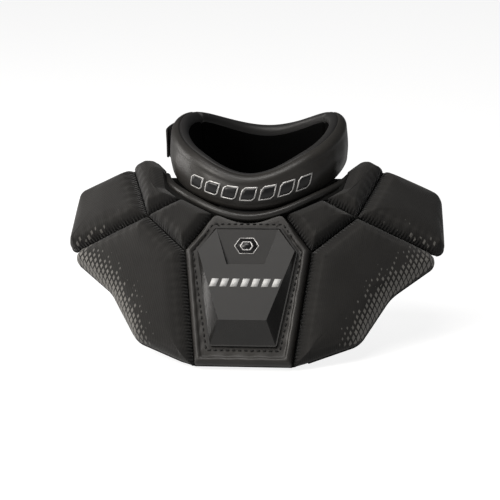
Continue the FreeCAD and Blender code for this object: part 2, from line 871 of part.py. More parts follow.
# ------------------------------------------------------------------ the hook-and-loop closure
LOOP_IN = OUTER + size("layer_gap")
LOOP_OUT = LOOP_IN + size("loop_pile")
HOOK_IN = LOOP_OUT + size("layer_gap")
HOOK_OUT = HOOK_IN + size("hook_pile")
STRAP_IN = HOOK_OUT + size("layer_gap")
STRAP_OUT = STRAP_IN + size("strap")
TAB_FROM = TURN - size("tab_angle")
TAB_TO = TURN - size("tab_tip_angle")
MARGIN = degrees_of(size("pile_margin"))
ring_body("loop_patch", TURN - END + CAP, TAB_TO - MARGIN, strip_section(LOOP_IN, LOOP_OUT))
ring_body("tab_hooks", TAB_FROM + MARGIN, TAB_TO - MARGIN, strip_section(HOOK_IN, HOOK_OUT))
ring_body("tab_strap", TAB_FROM + HINGE, TAB_TO, strip_section(STRAP_IN, STRAP_OUT))
ring_body("tab_root", TURN - size("tab_root_angle"), TAB_FROM, strip_section(LOOP_IN, STRAP_OUT))

# ------------------------------------------------------------------ the neckline
TOP_CORNER = on_panel(size("panel_top_half"), size("panel_top_drop"))
SPLIT = math.degrees(math.atan2(TOP_CORNER.x, -TOP_CORNER.y))
HALF_SPLIT = degrees_of(size("seam_gap")) / 2
PIPE_END = size("piping_end_angle")
ring_body("neck_piping", -SPLIT + HALF_SPLIT, SPLIT - HALF_SPLIT, piping_section)
ring_body("left_neck_piping", SPLIT + HALF_SPLIT, PIPE_END, piping_section)
ring_body("right_neck_piping", -PIPE_END, -SPLIT - HALF_SPLIT, piping_section)
ring_body("neck_gusset", -size("gusset_angle"), size("gusset_angle"), gusset_section)

# ------------------------------------------------------------------ the bib
sternum_panel()
sternum_shield()
wing("left", 1)
wing("right", -1)

# ------------------------------------------------------------------ build and export
doc.recompute()
os.makedirs("parts", exist_ok=True)
faults = []
for thing in doc.Objects:
    if "Invalid" in thing.State or "Error" in thing.State:
        faults.append(f"{thing.Label}: {thing.State}")
for body in doc.findObjects("PartDesign::Body"):
    if body.Shape.isNull() or not body.Shape.isValid() or len(body.Shape.Solids) != 1:
        faults.append(f"{body.Label}: bad shape")
        continue
    body.Shape.exportStep(f"parts/{body.Label}.step")
if faults:
    raise RuntimeError("; ".join(faults))
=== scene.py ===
"""Looks of the goalkeeper's neck guard with a sternum and collarbone bib.

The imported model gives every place.  Sizes are in millimetres and points in metres, +Z up, the
chest faces -Y.  Angles round the neck run from the front (0) to the wearer's left (+90).
"""
import bmesh
import bpy
import json
import math
import numpy as np
from mathutils import Matrix, Vector
from mathutils.kdtree import KDTree
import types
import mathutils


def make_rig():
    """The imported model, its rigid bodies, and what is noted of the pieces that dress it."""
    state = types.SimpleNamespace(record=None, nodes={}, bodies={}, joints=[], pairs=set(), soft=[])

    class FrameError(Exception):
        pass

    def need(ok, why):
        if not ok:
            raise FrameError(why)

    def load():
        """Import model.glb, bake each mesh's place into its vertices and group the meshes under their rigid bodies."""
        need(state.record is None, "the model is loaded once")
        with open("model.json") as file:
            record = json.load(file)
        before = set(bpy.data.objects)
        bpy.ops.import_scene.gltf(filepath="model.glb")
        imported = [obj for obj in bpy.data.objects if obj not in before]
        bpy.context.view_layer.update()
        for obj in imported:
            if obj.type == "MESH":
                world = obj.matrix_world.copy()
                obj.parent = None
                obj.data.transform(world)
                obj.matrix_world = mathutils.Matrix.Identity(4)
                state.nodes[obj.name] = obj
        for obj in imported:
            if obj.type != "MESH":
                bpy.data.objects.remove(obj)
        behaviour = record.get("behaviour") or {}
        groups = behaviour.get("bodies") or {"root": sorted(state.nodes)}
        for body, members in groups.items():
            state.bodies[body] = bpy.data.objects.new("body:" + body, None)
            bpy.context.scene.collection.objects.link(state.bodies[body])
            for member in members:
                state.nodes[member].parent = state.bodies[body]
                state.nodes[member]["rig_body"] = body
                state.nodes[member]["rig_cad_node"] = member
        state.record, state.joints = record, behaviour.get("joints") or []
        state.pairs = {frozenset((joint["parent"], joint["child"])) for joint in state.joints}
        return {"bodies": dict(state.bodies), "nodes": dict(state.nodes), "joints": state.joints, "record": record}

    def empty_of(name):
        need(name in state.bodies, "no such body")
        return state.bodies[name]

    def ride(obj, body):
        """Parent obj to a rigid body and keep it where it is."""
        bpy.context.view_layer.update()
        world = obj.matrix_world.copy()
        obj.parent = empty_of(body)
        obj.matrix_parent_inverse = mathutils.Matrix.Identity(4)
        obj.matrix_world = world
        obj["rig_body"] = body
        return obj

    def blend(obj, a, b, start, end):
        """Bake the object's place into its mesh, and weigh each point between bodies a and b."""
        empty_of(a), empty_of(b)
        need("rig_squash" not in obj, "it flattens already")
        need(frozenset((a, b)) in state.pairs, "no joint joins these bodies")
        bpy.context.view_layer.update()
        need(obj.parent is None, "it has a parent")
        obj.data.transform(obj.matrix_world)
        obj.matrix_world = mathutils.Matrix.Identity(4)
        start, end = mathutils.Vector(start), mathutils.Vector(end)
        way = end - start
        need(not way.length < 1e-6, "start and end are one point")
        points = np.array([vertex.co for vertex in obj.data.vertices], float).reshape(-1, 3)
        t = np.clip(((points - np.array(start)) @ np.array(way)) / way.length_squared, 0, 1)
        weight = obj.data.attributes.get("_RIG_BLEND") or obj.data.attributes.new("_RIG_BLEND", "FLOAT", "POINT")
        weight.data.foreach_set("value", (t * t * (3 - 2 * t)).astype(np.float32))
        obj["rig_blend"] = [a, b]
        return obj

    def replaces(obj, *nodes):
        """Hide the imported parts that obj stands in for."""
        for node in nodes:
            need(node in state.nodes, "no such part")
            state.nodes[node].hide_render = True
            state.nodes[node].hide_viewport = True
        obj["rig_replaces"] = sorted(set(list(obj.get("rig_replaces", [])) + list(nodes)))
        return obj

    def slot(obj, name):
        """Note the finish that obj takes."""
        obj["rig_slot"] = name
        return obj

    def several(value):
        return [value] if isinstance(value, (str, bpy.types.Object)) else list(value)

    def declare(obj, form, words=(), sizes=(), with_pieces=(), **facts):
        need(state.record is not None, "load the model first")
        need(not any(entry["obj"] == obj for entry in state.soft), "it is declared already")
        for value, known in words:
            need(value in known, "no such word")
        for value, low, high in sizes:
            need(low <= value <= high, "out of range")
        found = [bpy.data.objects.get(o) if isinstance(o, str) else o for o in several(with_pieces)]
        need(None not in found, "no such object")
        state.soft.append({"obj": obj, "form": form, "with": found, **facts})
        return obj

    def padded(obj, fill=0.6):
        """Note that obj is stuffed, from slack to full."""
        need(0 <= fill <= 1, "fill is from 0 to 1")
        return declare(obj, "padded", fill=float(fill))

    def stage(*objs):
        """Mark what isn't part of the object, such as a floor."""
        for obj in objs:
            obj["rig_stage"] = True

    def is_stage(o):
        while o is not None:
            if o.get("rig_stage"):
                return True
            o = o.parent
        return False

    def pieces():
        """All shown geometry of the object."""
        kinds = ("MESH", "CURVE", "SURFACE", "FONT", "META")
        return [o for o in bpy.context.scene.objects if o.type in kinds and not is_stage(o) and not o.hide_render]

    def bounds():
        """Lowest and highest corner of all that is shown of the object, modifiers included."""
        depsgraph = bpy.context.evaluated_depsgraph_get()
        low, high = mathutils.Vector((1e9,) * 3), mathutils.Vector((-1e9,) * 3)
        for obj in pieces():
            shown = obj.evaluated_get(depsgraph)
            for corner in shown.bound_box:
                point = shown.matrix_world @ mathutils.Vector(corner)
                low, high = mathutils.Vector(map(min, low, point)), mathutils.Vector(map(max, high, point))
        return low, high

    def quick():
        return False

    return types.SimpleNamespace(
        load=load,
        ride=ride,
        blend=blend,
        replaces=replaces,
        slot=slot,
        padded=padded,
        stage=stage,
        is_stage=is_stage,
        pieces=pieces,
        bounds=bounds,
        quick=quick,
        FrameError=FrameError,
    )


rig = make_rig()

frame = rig.load()
cad_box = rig.bounds()

# ---------------------------------------------------------------- the padded collar
# A moulded foam ring in soft coated leather.  A separate strip of the same leather is sewn on
# along the top of the rim and turned in over a brushed black lining.  The lining's colour is
# set near zero, far darker than black cloth, so that the inside of the collar shows as deep
# shade: partly painted shade.
MM = 0.001


class Wire:
    """A socket in a material's nodes; arithmetic on it adds Math nodes."""

    def __init__(self, tree, socket=None):
        self.tree = tree
        self.socket = socket

    def node(self, kind, settings=None, inputs=None, out=0):
        made = self.tree.nodes.new("ShaderNode" + kind)
        for key, value in (settings or {}).items():
            setattr(made, key, value)
        for key, value in (inputs or {}).items():
            if isinstance(value, Wire):
                self.tree.links.new(value.socket, made.inputs[key])
            else:
                made.inputs[key].default_value = value
        return Wire(self.tree, made.outputs[out] if made.outputs else None)

    def math(self, operation, *values):
        return self.node("Math", {"operation": operation}, dict(enumerate(values)))

    def __add__(self, other):
        return self.math("ADD", self, other)

    def __sub__(self, other):
        return self.math("SUBTRACT", self, other)

    def __rsub__(self, other):
        return self.math("SUBTRACT", other, self)

    def __mul__(self, other):
        return self.math("MULTIPLY", self, other)

    def __truediv__(self, other):
        return self.math("DIVIDE", self, other)

    def __rtruediv__(self, other):
        return self.math("DIVIDE", other, self)

    def __lt__(self, other):
        return self.math("LESS_THAN", self, other)

    def __gt__(self, other):
        return self.math("GREATER_THAN", self, other)

    def __abs__(self):
        return self.math("ABSOLUTE", self)

    __radd__ = __add__
    __rmul__ = __mul__

    def floor(self):
        return self.math("FLOOR", self)

    def at_most(self, limit):
        return self.math("MINIMUM", self, limit)

    def at_least(self, limit):
        return self.math("MAXIMUM", self, limit)

    def wave(self, period):
        """A sine that runs from 0 to 1 and back over the period."""
        return self.math("SINE", self * (2 * math.pi / period)) * 0.5 + 0.5

    def between(self, low, high):
        """0 below low, 1 above high, smooth in between."""
        return self.node(
            "MapRange", {"interpolation_type": "SMOOTHSTEP"}, {0: self, 1: low, 2: high}
        )

    def tint(self, first, second):
        """The first colour at 0 and the second at 1."""
        return self.node("Mix", {"data_type": "RGBA"}, {0: self, 6: first, 7: second}, out=2)

    def grain(self, scale, detail=4.0, rough=0.6, stretch=None):
        """Noise over the object's own coordinates, in grains per metre."""
        place = self.node("TexCoord", out=3)
        if stretch:
            place = self.node("Mapping", None, {"Vector": place, "Scale": stretch})
        return self.node(
            "TexNoise", None,
            {"Vector": place, "Scale": scale, "Detail": detail, "Roughness": rough},
        )

    def cells(self, scale, feature="F1", out=0):
        """Voronoi cells over the object's own coordinates."""
        place = self.node("TexCoord", out=3)
        return self.node("TexVoronoi", {"feature": feature}, {"Vector": place, "Scale": scale}, out)

    def bump(self, distance, strength=1.0, under=None):
        """The normal that this height gives, over another one if there is one."""
        inputs = {"Height": self, "Distance": distance, "Strength": strength}
        if under:
            inputs["Normal"] = under
        return self.node("Bump", None, inputs)


def new_material(name):
    """An empty material, and the start of its nodes."""
    material = bpy.data.materials.new(name)
    material.use_nodes = True
    material.node_tree.nodes.clear()
    return material, Wire(material.node_tree)


def surface(start, **sockets):
    """The Principled shader as the material's surface; underscores stand for spaces."""
    inputs = {key.replace("_", " "): value for key, value in sockets.items()}
    shader = start.node("BsdfPrincipled", None, inputs)
    start.node("OutputMaterial", None, {"Surface": shader})


def leather(name, dark, light, rough, grain_size=1500):
    """Soft coated leather: a fine pebbled grain, shallow creases and rubbed patches."""
    material, start = new_material(name)
    pebble = start.cells(grain_size)
    cloud = start.grain(14, 3)
    crease = start.grain(60, 5, 0.7, (1, 1, 2.5))
    rubbed = (cloud * 0.7 + crease * 0.3).between(0.35, 0.7)
    normal = pebble.bump(0.00012, 0.35, crease.bump(0.0006, 0.25))
    surface(
        start, Base_Color=rubbed.tint(dark, light), Roughness=rubbed * -0.10 + rough,
        Specular_IOR_Level=0.5, Normal=normal,
    )
    return material


def piece(name, points, faces, materials, zones=None):
    """A smooth mesh object; zones gives each face its material."""
    mesh = bpy.data.meshes.new(name)
    mesh.from_pydata([tuple(p) for p in points], [], faces)
    work = bmesh.new()
    work.from_mesh(mesh)
    bmesh.ops.recalc_face_normals(work, faces=work.faces)
    work.to_mesh(mesh)
    work.free()
    for material in materials:
        mesh.materials.append(material)
    if zones is not None:
        mesh.polygons.foreach_set("material_index", zones)
    mesh.polygons.foreach_set("use_smooth", [True] * len(mesh.polygons))
    made = bpy.data.objects.new(name, mesh)
    bpy.context.scene.collection.objects.link(made)
    return made


# Heights of the rim and of the foot, as (angle from the front, height), and the two radii.
RIM = [(0, 0), (45, 17), (90, 33), (118, 34), (180, 12)]
BASE = [(0, -33), (45, -23), (90, -9), (118, -14), (180, -46)]
NECK, OUTER = 66, 82.6
RIM_SEAM = 74.4
TOP_ROLL, FOOT_ROLL, LIP_ROLL = 8.2, 6, 5
RIM_STITCH = 3.6
FRONT_BULGE, BACK_BULGE = 2.5, 1.1


def smooth(stations, angle):
    """A smooth curve through (angle, height) stations that starts level at the front."""
    angle = abs(angle)
    if angle > 180:
        angle = 360 - angle
    end_a, end_h = stations[-1]
    if end_a == 180:
        beyond = (360 - stations[-2][0], stations[-2][1])
    else:
        beyond = (2 * end_a - stations[-2][0], 2 * end_h - stations[-2][1])
    points = [(-stations[1][0], stations[1][1])] + stations + [beyond]
    for i in range(1, len(points) - 2):
        (a, low), (b, high) = points[i], points[i + 1]
        if angle <= b:
            span = b - a
            first = (high - points[i - 1][1]) / (b - points[i - 1][0]) * span
            last = (points[i + 2][1] - low) / (points[i + 2][0] - a) * span
            t = (angle - a) / span
            cubic = 2 * (low - high) + first + last
            square = 3 * (high - low) - 2 * first - last
            return ((cubic * t + square) * t + first) * t + low
    return end_h


def around(angle, radius, height):
    """A point at an angle from the front."""
    turn = math.radians(angle)
    return (radius * math.sin(turn) * MM, -radius * math.cos(turn) * MM, height * MM)


def quarter(r, z, radius, start, end, steps, zone):
    """Points of an arc round (r, z), in degrees from outwards towards up."""
    return [
        (
            r + radius * math.cos(math.radians(start + (end - start) * i / steps)),
            z + radius * math.sin(math.radians(start + (end - start) * i / steps)), zone,
        )
        for i in range(steps + 1)
    ]


SKIN, RIM_STRIP, LINING = 0, 1, 2


def collar_section(angle):
    """The collar's outline at an angle, from the rim seam inwards and round the base."""
    top, low = smooth(RIM, angle), smooth(BASE, angle)
    along = math.radians(angle) * 75
    stitch = 0.16 * math.sin(along * 2 * math.pi / RIM_STITCH)
    slack = 0.25 * math.sin(along / 7.3) + 0.2 * math.sin(along / 3.1 + 1)
    in_front = min(1, max(0, (85 - abs(angle)) / 25))
    bulge = BACK_BULGE + (FRONT_BULGE - BACK_BULGE) * in_front + slack
    seam = RIM_SEAM
    points = [
        (seam, top - 1.3 + stitch, RIM_STRIP), (seam - 0.5, top - 0.6 + stitch, RIM_STRIP),
        (seam - 1.3, top - 0.02 + stitch / 2, RIM_STRIP), (seam - 2.4, top + 0.15, RIM_STRIP),
    ]
    points += quarter(NECK + LIP_ROLL, top - 4.85, LIP_ROLL, 90, 180, 8, RIM_STRIP)
    points += [
        (NECK, top - 7, RIM_STRIP), (NECK + 0.1, top - 8.3, RIM_STRIP),
        (NECK + 0.8, top - 9, LINING), (NECK + 0.3, top - 9.8, LINING),
    ]
    high, deep = top - 10.5, low + FOOT_ROLL
    steps = 9
    for i in range(steps + 1):
        t = i / steps
        sunk = 0.6 * math.sin(math.pi * t)
        points.append((NECK - sunk, high + (deep - high) * t, LINING))
    points += quarter(NECK + FOOT_ROLL, deep, FOOT_ROLL, 180, 270, 7, LINING)[1:]
    points += [
        (seam - 1.0, low + 0.1, LINING), (seam - 0.4, low + 0.9, LINING),
        (seam + 0.1, low + 1.1, SKIN), (seam + 0.6, low + 0.6, SKIN), (seam + 1.4, low, SKIN),
    ]
    points += quarter(OUTER - FOOT_ROLL, deep, FOOT_ROLL, 270, 360, 8, SKIN)
    high = top - TOP_ROLL
    steps = 12
    for i in range(1, steps):
        t = i / steps
        proud = bulge * math.sin(math.pi * t)
        points.append((OUTER + proud, deep + (high - deep) * t, SKIN))
    points += quarter(OUTER - TOP_ROLL, high, TOP_ROLL, 0, 82, 12, SKIN)
    points += [(seam + 0.45, top - 0.55 + stitch, SKIN)]
    return points


ROUNDED_END = [(0, 4.5), (0.25, 3.0), (0.9, 1.7), (2.0, 0.7), (3.6, 0)]


def drawn_in(start, end, step, rounding, radius=OUTER):
    """Angles from start to end, each with how far the section is drawn in to round the ends."""
    ease = [(math.degrees(along / radius), drawn) for along, drawn in rounding]
    first, last = start + ease[-1][0], end - ease[-1][0]
    count = max(2, round((last - first) / step))
    middle = [(first + (last - first) * i / count, 0) for i in range(1, count)]
    return (
        [(start + a, drawn) for a, drawn in ease] + middle
        + [(end - a, drawn) for a, drawn in reversed(ease)]
    )


def rings_joined(rings, count, first=0):
    """Faces between successive rings of count points, then the last and first ring as caps."""
    faces = []
    for i in range(rings - 1):
        for j in range(count):
            here, there = first + i * count + j, first + i * count + (j + 1) % count
            faces.append((here, there, there + count, here + count))
    last = first + (rings - 1) * count
    return faces + [tuple(range(last, last + count)), tuple(range(first, first + count))]


def ring_piece(name, angles, section, materials, open_start=False):
    """A piece swept round the neck from (angle, drawn in) stations, and closed at its ends."""
    points = []
    for angle, drawn in angles:
        row = section(angle)
        mid_r = sum(p[0] for p in row) / len(row)
        mid_z = sum(p[1] for p in row) / len(row)
        for r, z, _ in row:
            reach = math.hypot(r - mid_r, z - mid_z)
            keep = max(0.05, 1 - drawn / reach) if drawn else 1
            points.append(around(angle, mid_r + (r - mid_r) * keep, mid_z + (z - mid_z) * keep))
    faces = rings_joined(len(angles), len(row))
    zones = [zone for _, _, zone in row] * (len(angles) - 1) + [row[-1][2]] * 2
    if open_start:
        faces.pop()
        zones.pop()
    return piece(name, points, faces, materials, zones)


collar_leather = leather(
    "collar_leather", (0.027, 0.025, 0.023, 1), (0.042, 0.039, 0.035, 1), 0.44
)
rim_leather = leather("rim_leather", (0.020, 0.019, 0.019, 1), (0.030, 0.029, 0.028, 1), 0.55)

lining, start = new_material("brushed_lining")
nap = start.grain(900, 3, 0.7, (1, 1, 0.35))
# partly painted shade: the black lining is made near zero so that the inside of the neck reads as deep shade
surface(
    start,
    Base_Color=start.grain(25, 3).tint((0.0008, 0.0008, 0.0008, 1), (0.0022, 0.0022, 0.0022, 1)),
    Roughness=nap * 0.1 + 0.88, Specular_IOR_Level=0.04, Normal=nap.bump(0.0004, 0.6),
)

collar = ring_piece(
    "collar_pad", drawn_in(-118, 118, 1.0, ROUNDED_END), collar_section,
    [collar_leather, rim_leather, lining],
)
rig.ride(collar, "collar")
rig.replaces(
    collar, "collar_cover", "collar_rim_binding", "collar_liner", "collar_cut_layer",
    "collar_foam", "collar_end_first", "collar_end_last",
)
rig.slot(collar, "collar_leather")
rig.padded(collar, fill=0.9)

# ---------------------------------------------------------------- the band behind the neck
# The same padded ring goes on behind the neck.  It swings open on the leather at one side and
# is held shut by the tab at the other.
band = ring_piece(
    "band_pad", drawn_in(118.42, 241.58, 1.0, ROUNDED_END), collar_section,
    [collar_leather, rim_leather, lining],
)
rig.ride(band, "neck_band")
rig.replaces(
    band, "band_cover", "band_rim_binding", "band_liner", "band_cut_layer", "band_foam",
    "band_end_first", "band_end_last",
)
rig.slot(band, "collar_leather")
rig.padded(band, fill=0.9)

# ---------------------------------------------------------------- the ornament on the collar
# A row of slanted cells is transfer printed round the front of the collar: a silver outline
# round a dark glossy fill.
silver, start = new_material("silver_print")
scuff = start.grain(220, 5, 0.7)
surface(
    start, Base_Color=scuff.between(0.35, 0.65).tint((0.50, 0.49, 0.48, 1), (0.72, 0.71, 0.70, 1)),
    Roughness=scuff * 0.2 + 0.28, Metallic=0.6, Normal=scuff.bump(0.0001, 0.3),
)
ink, start = new_material("dark_print")
haze = start.grain(160, 4, 0.6)
surface(
    start, Base_Color=haze.tint((0.006, 0.006, 0.006, 1), (0.016, 0.016, 0.017, 1)),
    Roughness=haze * 0.2 + 0.22, Normal=haze.bump(0.0001, 0.3),
)

BADGE = [(0, -16), (45, -6)]
CELL, CELL_GAP, CELL_HALF, SLANT, OUTLINE = 14.2, 3.4, 6.4, 0.30, 1.3
CELL_CUT, CELL_STEP = 2.6, 1.6
PRINT_OFF = 0.25


def cell_corners(inset):
    """The corners of a slanted cell that is cut at two of them, as (along, up) from its middle."""
    half, tall, cut = CELL / 2 - inset, CELL_HALF - inset, CELL_CUT - inset * 0.6
    shape = [
        (-half, -tall), (half - cut, -tall), (half, -tall + cut), (half, tall),
        (-half + cut, tall), (-half, tall - cut),
    ]
    return [(x + y * SLANT, y) for x, y in shape]


def cell_ring(inset):
    """Points round a cell, as many at every inset."""
    whole, shape = cell_corners(0), cell_corners(inset)
    row = []
    for (ax, ay), (bx, by), (cx, cy), (dx, dy) in zip(
        whole, whole[1:] + whole[:1], shape, shape[1:] + shape[:1]
    ):
        parts = max(1, math.ceil(math.hypot(bx - ax, by - ay) / CELL_STEP))
        row += [(cx + (dx - cx) * k / parts, cy + (dy - cy) * k / parts) for k in range(parts)]
    return row


def on_collar(along, up, lift):
    """A point on the collar's bulging front, by arc length from the front and height."""
    angle = math.degrees(along / (OUTER + 2.6))
    top, low = smooth(RIM, angle), smooth(BASE, angle)
    height = smooth(BADGE, angle) + up
    t = min(1, max(0, (height - low - FOOT_ROLL) / (top - low - FOOT_ROLL - TOP_ROLL)))
    radius = OUTER + (FRONT_BULGE + 0.4) * math.sin(math.pi * t) + PRINT_OFF
    turned = height - (top - TOP_ROLL)
    if turned > 0:
        radius = OUTER - TOP_ROLL + math.sqrt(max(0, TOP_ROLL ** 2 - turned ** 2)) + PRINT_OFF
    return around(angle, radius + lift, height)


outline_points, outline_faces, fill_points, fill_faces = [], [], [], []
for i in range(-3, 4):
    middle = i * (CELL + CELL_GAP)
    rings = [(0, -0.3), (0.1, 0.35), (OUTLINE - 0.1, 0.35), (OUTLINE, -0.3)]
    first = len(outline_points)
    for inset, lift in rings:
        row = cell_ring(inset)
        outline_points += [on_collar(middle + x, y, lift) for x, y in row]
    outline_faces += rings_joined(len(rings), len(row), first)[:-2]
    rings = [(1, -0.25), (0.97, 0.12), (0.7, 0.12), (0.4, 0.12), (0.12, 0.12)]
    first = len(fill_points)
    for keep, lift in rings:
        fill_points += [on_collar(middle + x * keep, y * keep, lift) for x, y in row]
    fill_faces += rings_joined(len(rings), len(row), first)[:-1]
cells = piece("collar_cell_outlines", outline_points, outline_faces, [silver])
fill = piece("collar_cell_fills", fill_points, fill_faces, [ink])
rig.ride(cells, "collar")
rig.ride(fill, "collar")
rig.replaces(cells, "collar_badge")
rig.slot(cells, "badge_print")
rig.slot(fill, "badge_print")

# ---------------------------------------------------------------- the closing tab
# A leather tab is sewn to the band, and its hook tape grips a patch of loop tape on the end of
# the collar.
def tape(name, dark, light, scale, height):
    """Hook or loop tape: a dense field of tiny stalks on a woven ground."""
    material, start = new_material(name)
    stalks = start.cells(scale)
    fluff = start.grain(scale * 0.6, 4, 0.8)
    surface(
        start, Base_Color=(stalks * 0.6 + fluff * 0.4).tint(light, dark), Roughness=0.85,
        Specular_IOR_Level=0.2, Normal=(fluff - stalks).bump(height, 0.9),
    )
    return material


TAB_LOW, TAB_HIGH = -2, 26


def strap_section(inner, outer):
    """A rounded strip standing on its edge, between two distances off the collar."""
    mid, half = OUTER + (inner + outer) / 2, (outer - inner) / 2
    foot, head = TAB_LOW + half, TAB_HIGH - half
    parts = 10

    def section(_angle):
        rows = quarter(mid, foot, half, 180, 360, 6, 0)
        rows += [(mid + half, foot + (head - foot) * i / parts, 0) for i in range(1, parts)]
        rows += quarter(mid, head, half, 0, 180, 6, 0)
        rows += [(mid - half, head - (head - foot) * i / parts, 0) for i in range(1, parts)]
        return rows
    return section


loop_tape = tape("loop_tape", (0.004, 0.004, 0.004, 1), (0.020, 0.020, 0.020, 1), 2600, 0.0005)
hook_tape = tape("hook_tape", (0.004, 0.004, 0.004, 1), (0.030, 0.030, 0.030, 1), 1500, 0.0006)
tab_leather = leather(
    "tab_leather", (0.018, 0.017, 0.017, 1), (0.034, 0.032, 0.031, 1), 0.5, 1100
)
SMALL_END = [(0, 0.5), (0.2, 0.25), (0.6, 0)]
TAB_END = [(0, 0.8), (0.25, 0.45), (0.8, 0.15), (1.4, 0)]

loop = ring_piece(
    "loop_tape_patch", drawn_in(243.1, 271.4, 1.5, SMALL_END), strap_section(0.2, 1.7),
    [loop_tape],
)
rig.ride(loop, "collar")
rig.replaces(loop, "loop_patch")
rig.slot(loop, "loop_tape")

hooks = ring_piece(
    "hook_tape_patch", drawn_in(241.6, 271.4, 1.5, SMALL_END), strap_section(1.9, 3.2),
    [hook_tape],
)
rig.ride(hooks, "closure_tab")
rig.replaces(hooks, "tab_hooks")
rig.slot(hooks, "hook_tape")

tab = ring_piece(
    "closing_tab", drawn_in(240.6, 273, 1.0, TAB_END), strap_section(3.4, 5.4), [tab_leather]
)
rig.ride(tab, "closure_tab")
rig.replaces(tab, "tab_strap")
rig.slot(tab, "webbing")

root = ring_piece(
    "tab_root_pad", drawn_in(222, 239.8, 1.0, TAB_END), strap_section(0.2, 5.4), [tab_leather]
)
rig.ride(root, "neck_band")
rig.replaces(root, "tab_root")
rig.slot(root, "webbing")

# ---------------------------------------------------------------- the quilted wing pads
# Each wing is sewn from foam pads under a fine ribbed knit: collarbone, shoulder and chest, and
# a shoulder cap that folds on its seam.  The seams gather the knit between the stitches, and the
# knit is painted near black along their valleys, as painted shade.
knit, start = new_material("ribbed_knit")
weave = start.node("UVMap", {"uv_map": "weave"})
across = start.node("SeparateXYZ", None, {0: weave}, out=0)
upward = start.node("SeparateXYZ", None, {0: weave}, out=1)
print_strength = start.node("Attribute", {"attribute_name": "print"}, out=2)
rubbing = start.node("Attribute", {"attribute_name": "rubbed"}, out=2)
by_seam = start.node("Attribute", {"attribute_name": "by_seam"}, out=2)
seam_along = start.node("Attribute", {"attribute_name": "seam_along"}, out=2)
rib = across.wave(1.9)
yarn = (across + upward * 0.6).wave(0.8) * 0.6 + (upward - across * 0.5).wave(0.7) * 0.4
fuzz = start.grain(1400, 3, 0.8)
cloud = start.grain(22, 4, 0.6)
diagonal = across / 5.3 + upward / 9.0
counter = across / 5.3 - upward / 9.0
cell_a = diagonal.floor()
cell_b = counter.floor()
from_middle_a = abs(diagonal - cell_a - 0.5)
from_middle_b = abs(counter - cell_b - 0.5)
cell_place = start.node("CombineXYZ", None, {0: cell_a, 1: cell_b})
luck = start.node("TexWhiteNoise", {"noise_dimensions": "2D"}, {"Vector": cell_place}, out=0)
reach = (print_strength * 0.40 + 0.07).at_most(0.43)
edge = from_middle_a.at_least(from_middle_b)
lozenge = (reach - edge).between(0.0, 0.05)
kept = (luck < print_strength * 1.7) * (print_strength > 0.03)
fade = lozenge * kept * (print_strength * 0.75 + 0.25) * (fuzz * 0.5 + 0.7)
cloth = (cloud * 0.7 + fuzz * 0.3).between(0.3, 0.7).tint(
    (0.0118, 0.0110, 0.0101, 1), (0.0205, 0.0191, 0.0175, 1)
)
worn = (rubbing * 0.6 + rib * 0.1).at_most(1)
cloth = worn.tint(cloth, (0.040, 0.038, 0.035, 1))
# painted shade: the knit is darkened towards near black in the seam valleys between the pads
cloth = (by_seam * 0.7).tint(cloth, (0.0030, 0.0029, 0.0028, 1))
shade = fade.tint(cloth, (0.290, 0.278, 0.258, 1))
tucks = (seam_along + cloud * 5).wave(3.1) * by_seam
cloth_fall = tucks.bump(0.0012, 0.8, cloud.bump(0.0012, 0.35))
ribs = (rib * 0.55 + yarn * 0.45).bump(0.00035, 0.55, cloth_fall)
surface(
    start, Base_Color=shade, Roughness=fade * -0.38 + 0.80, Metallic=fade * 0.35,
    Specular_IOR_Level=0.35, Sheen_Weight=0.25, Sheen_Roughness=0.45, Normal=ribs,
)

# (inset from the edge, height) from the turned lip, up the bevel and on to the face
PAD_PROFILE = [
    (0, 0), (0, 1.6), (0.15, 3.0), (0.6, 4.5), (1.5, 6.0), (2.8, 7.7), (4.2, 9.5), (5.6, 11.3),
    (6.7, 12.5), (7.6, 13.2), (8.8, 13.7),
]


def back_outline(node, grow):
    """The outline of a core's back, let out by grow, with its facet's origin and axes."""
    work = bmesh.new()
    work.from_mesh(frame["nodes"][node].data)
    bmesh.ops.remove_doubles(work, verts=work.verts, dist=1e-5)
    work.normal_update()
    faces = [f for f in work.faces if f.calc_area() > 1e-10]
    biggest = 0
    for seed in sorted(faces, key=lambda f: -f.calc_area())[:12]:
        like = [f for f in faces if f.normal.dot(seed.normal) > 0.9995]
        area = sum(f.calc_area() for f in like)
        if area > biggest * 1.001:
            biggest, back = area, like
    out = -back[0].normal.normalized()
    across = Vector((0, 0, 1)).cross(out).normalized()
    up = out.cross(across)
    inside = set(back)
    ahead = {}
    for face in back:
        for loop in face.loops:
            if sum(1 for f in loop.edge.link_faces if f in inside) == 1:
                ahead[loop.vert.index] = loop.link_loop_next.vert.index
    work.verts.ensure_lookup_table()
    first = min(ahead)
    walk, here = [first], ahead[first]
    while here != first and len(walk) <= len(ahead):
        walk.append(here)
        here = ahead[here]
    origin = work.verts[first].co.copy()
    flat = np.array([
        ((work.verts[i].co - origin).dot(across), (work.verts[i].co - origin).dot(up)) for i in walk
    ]) / MM
    work.free()
    if turn_of(flat) < 0:
        flat = flat[::-1]
    lengths = np.linalg.norm(np.roll(flat, -1, axis=0) - flat, axis=1)
    flat = flat[lengths > 0.05]
    return inset(flat, -grow), (origin, across, up, out)


def turn_of(flat):
    """Twice the signed area of a flat outline."""
    after = np.roll(flat, -1, axis=0)
    return float(np.sum(flat[:, 0] * after[:, 1] - after[:, 0] * flat[:, 1]))


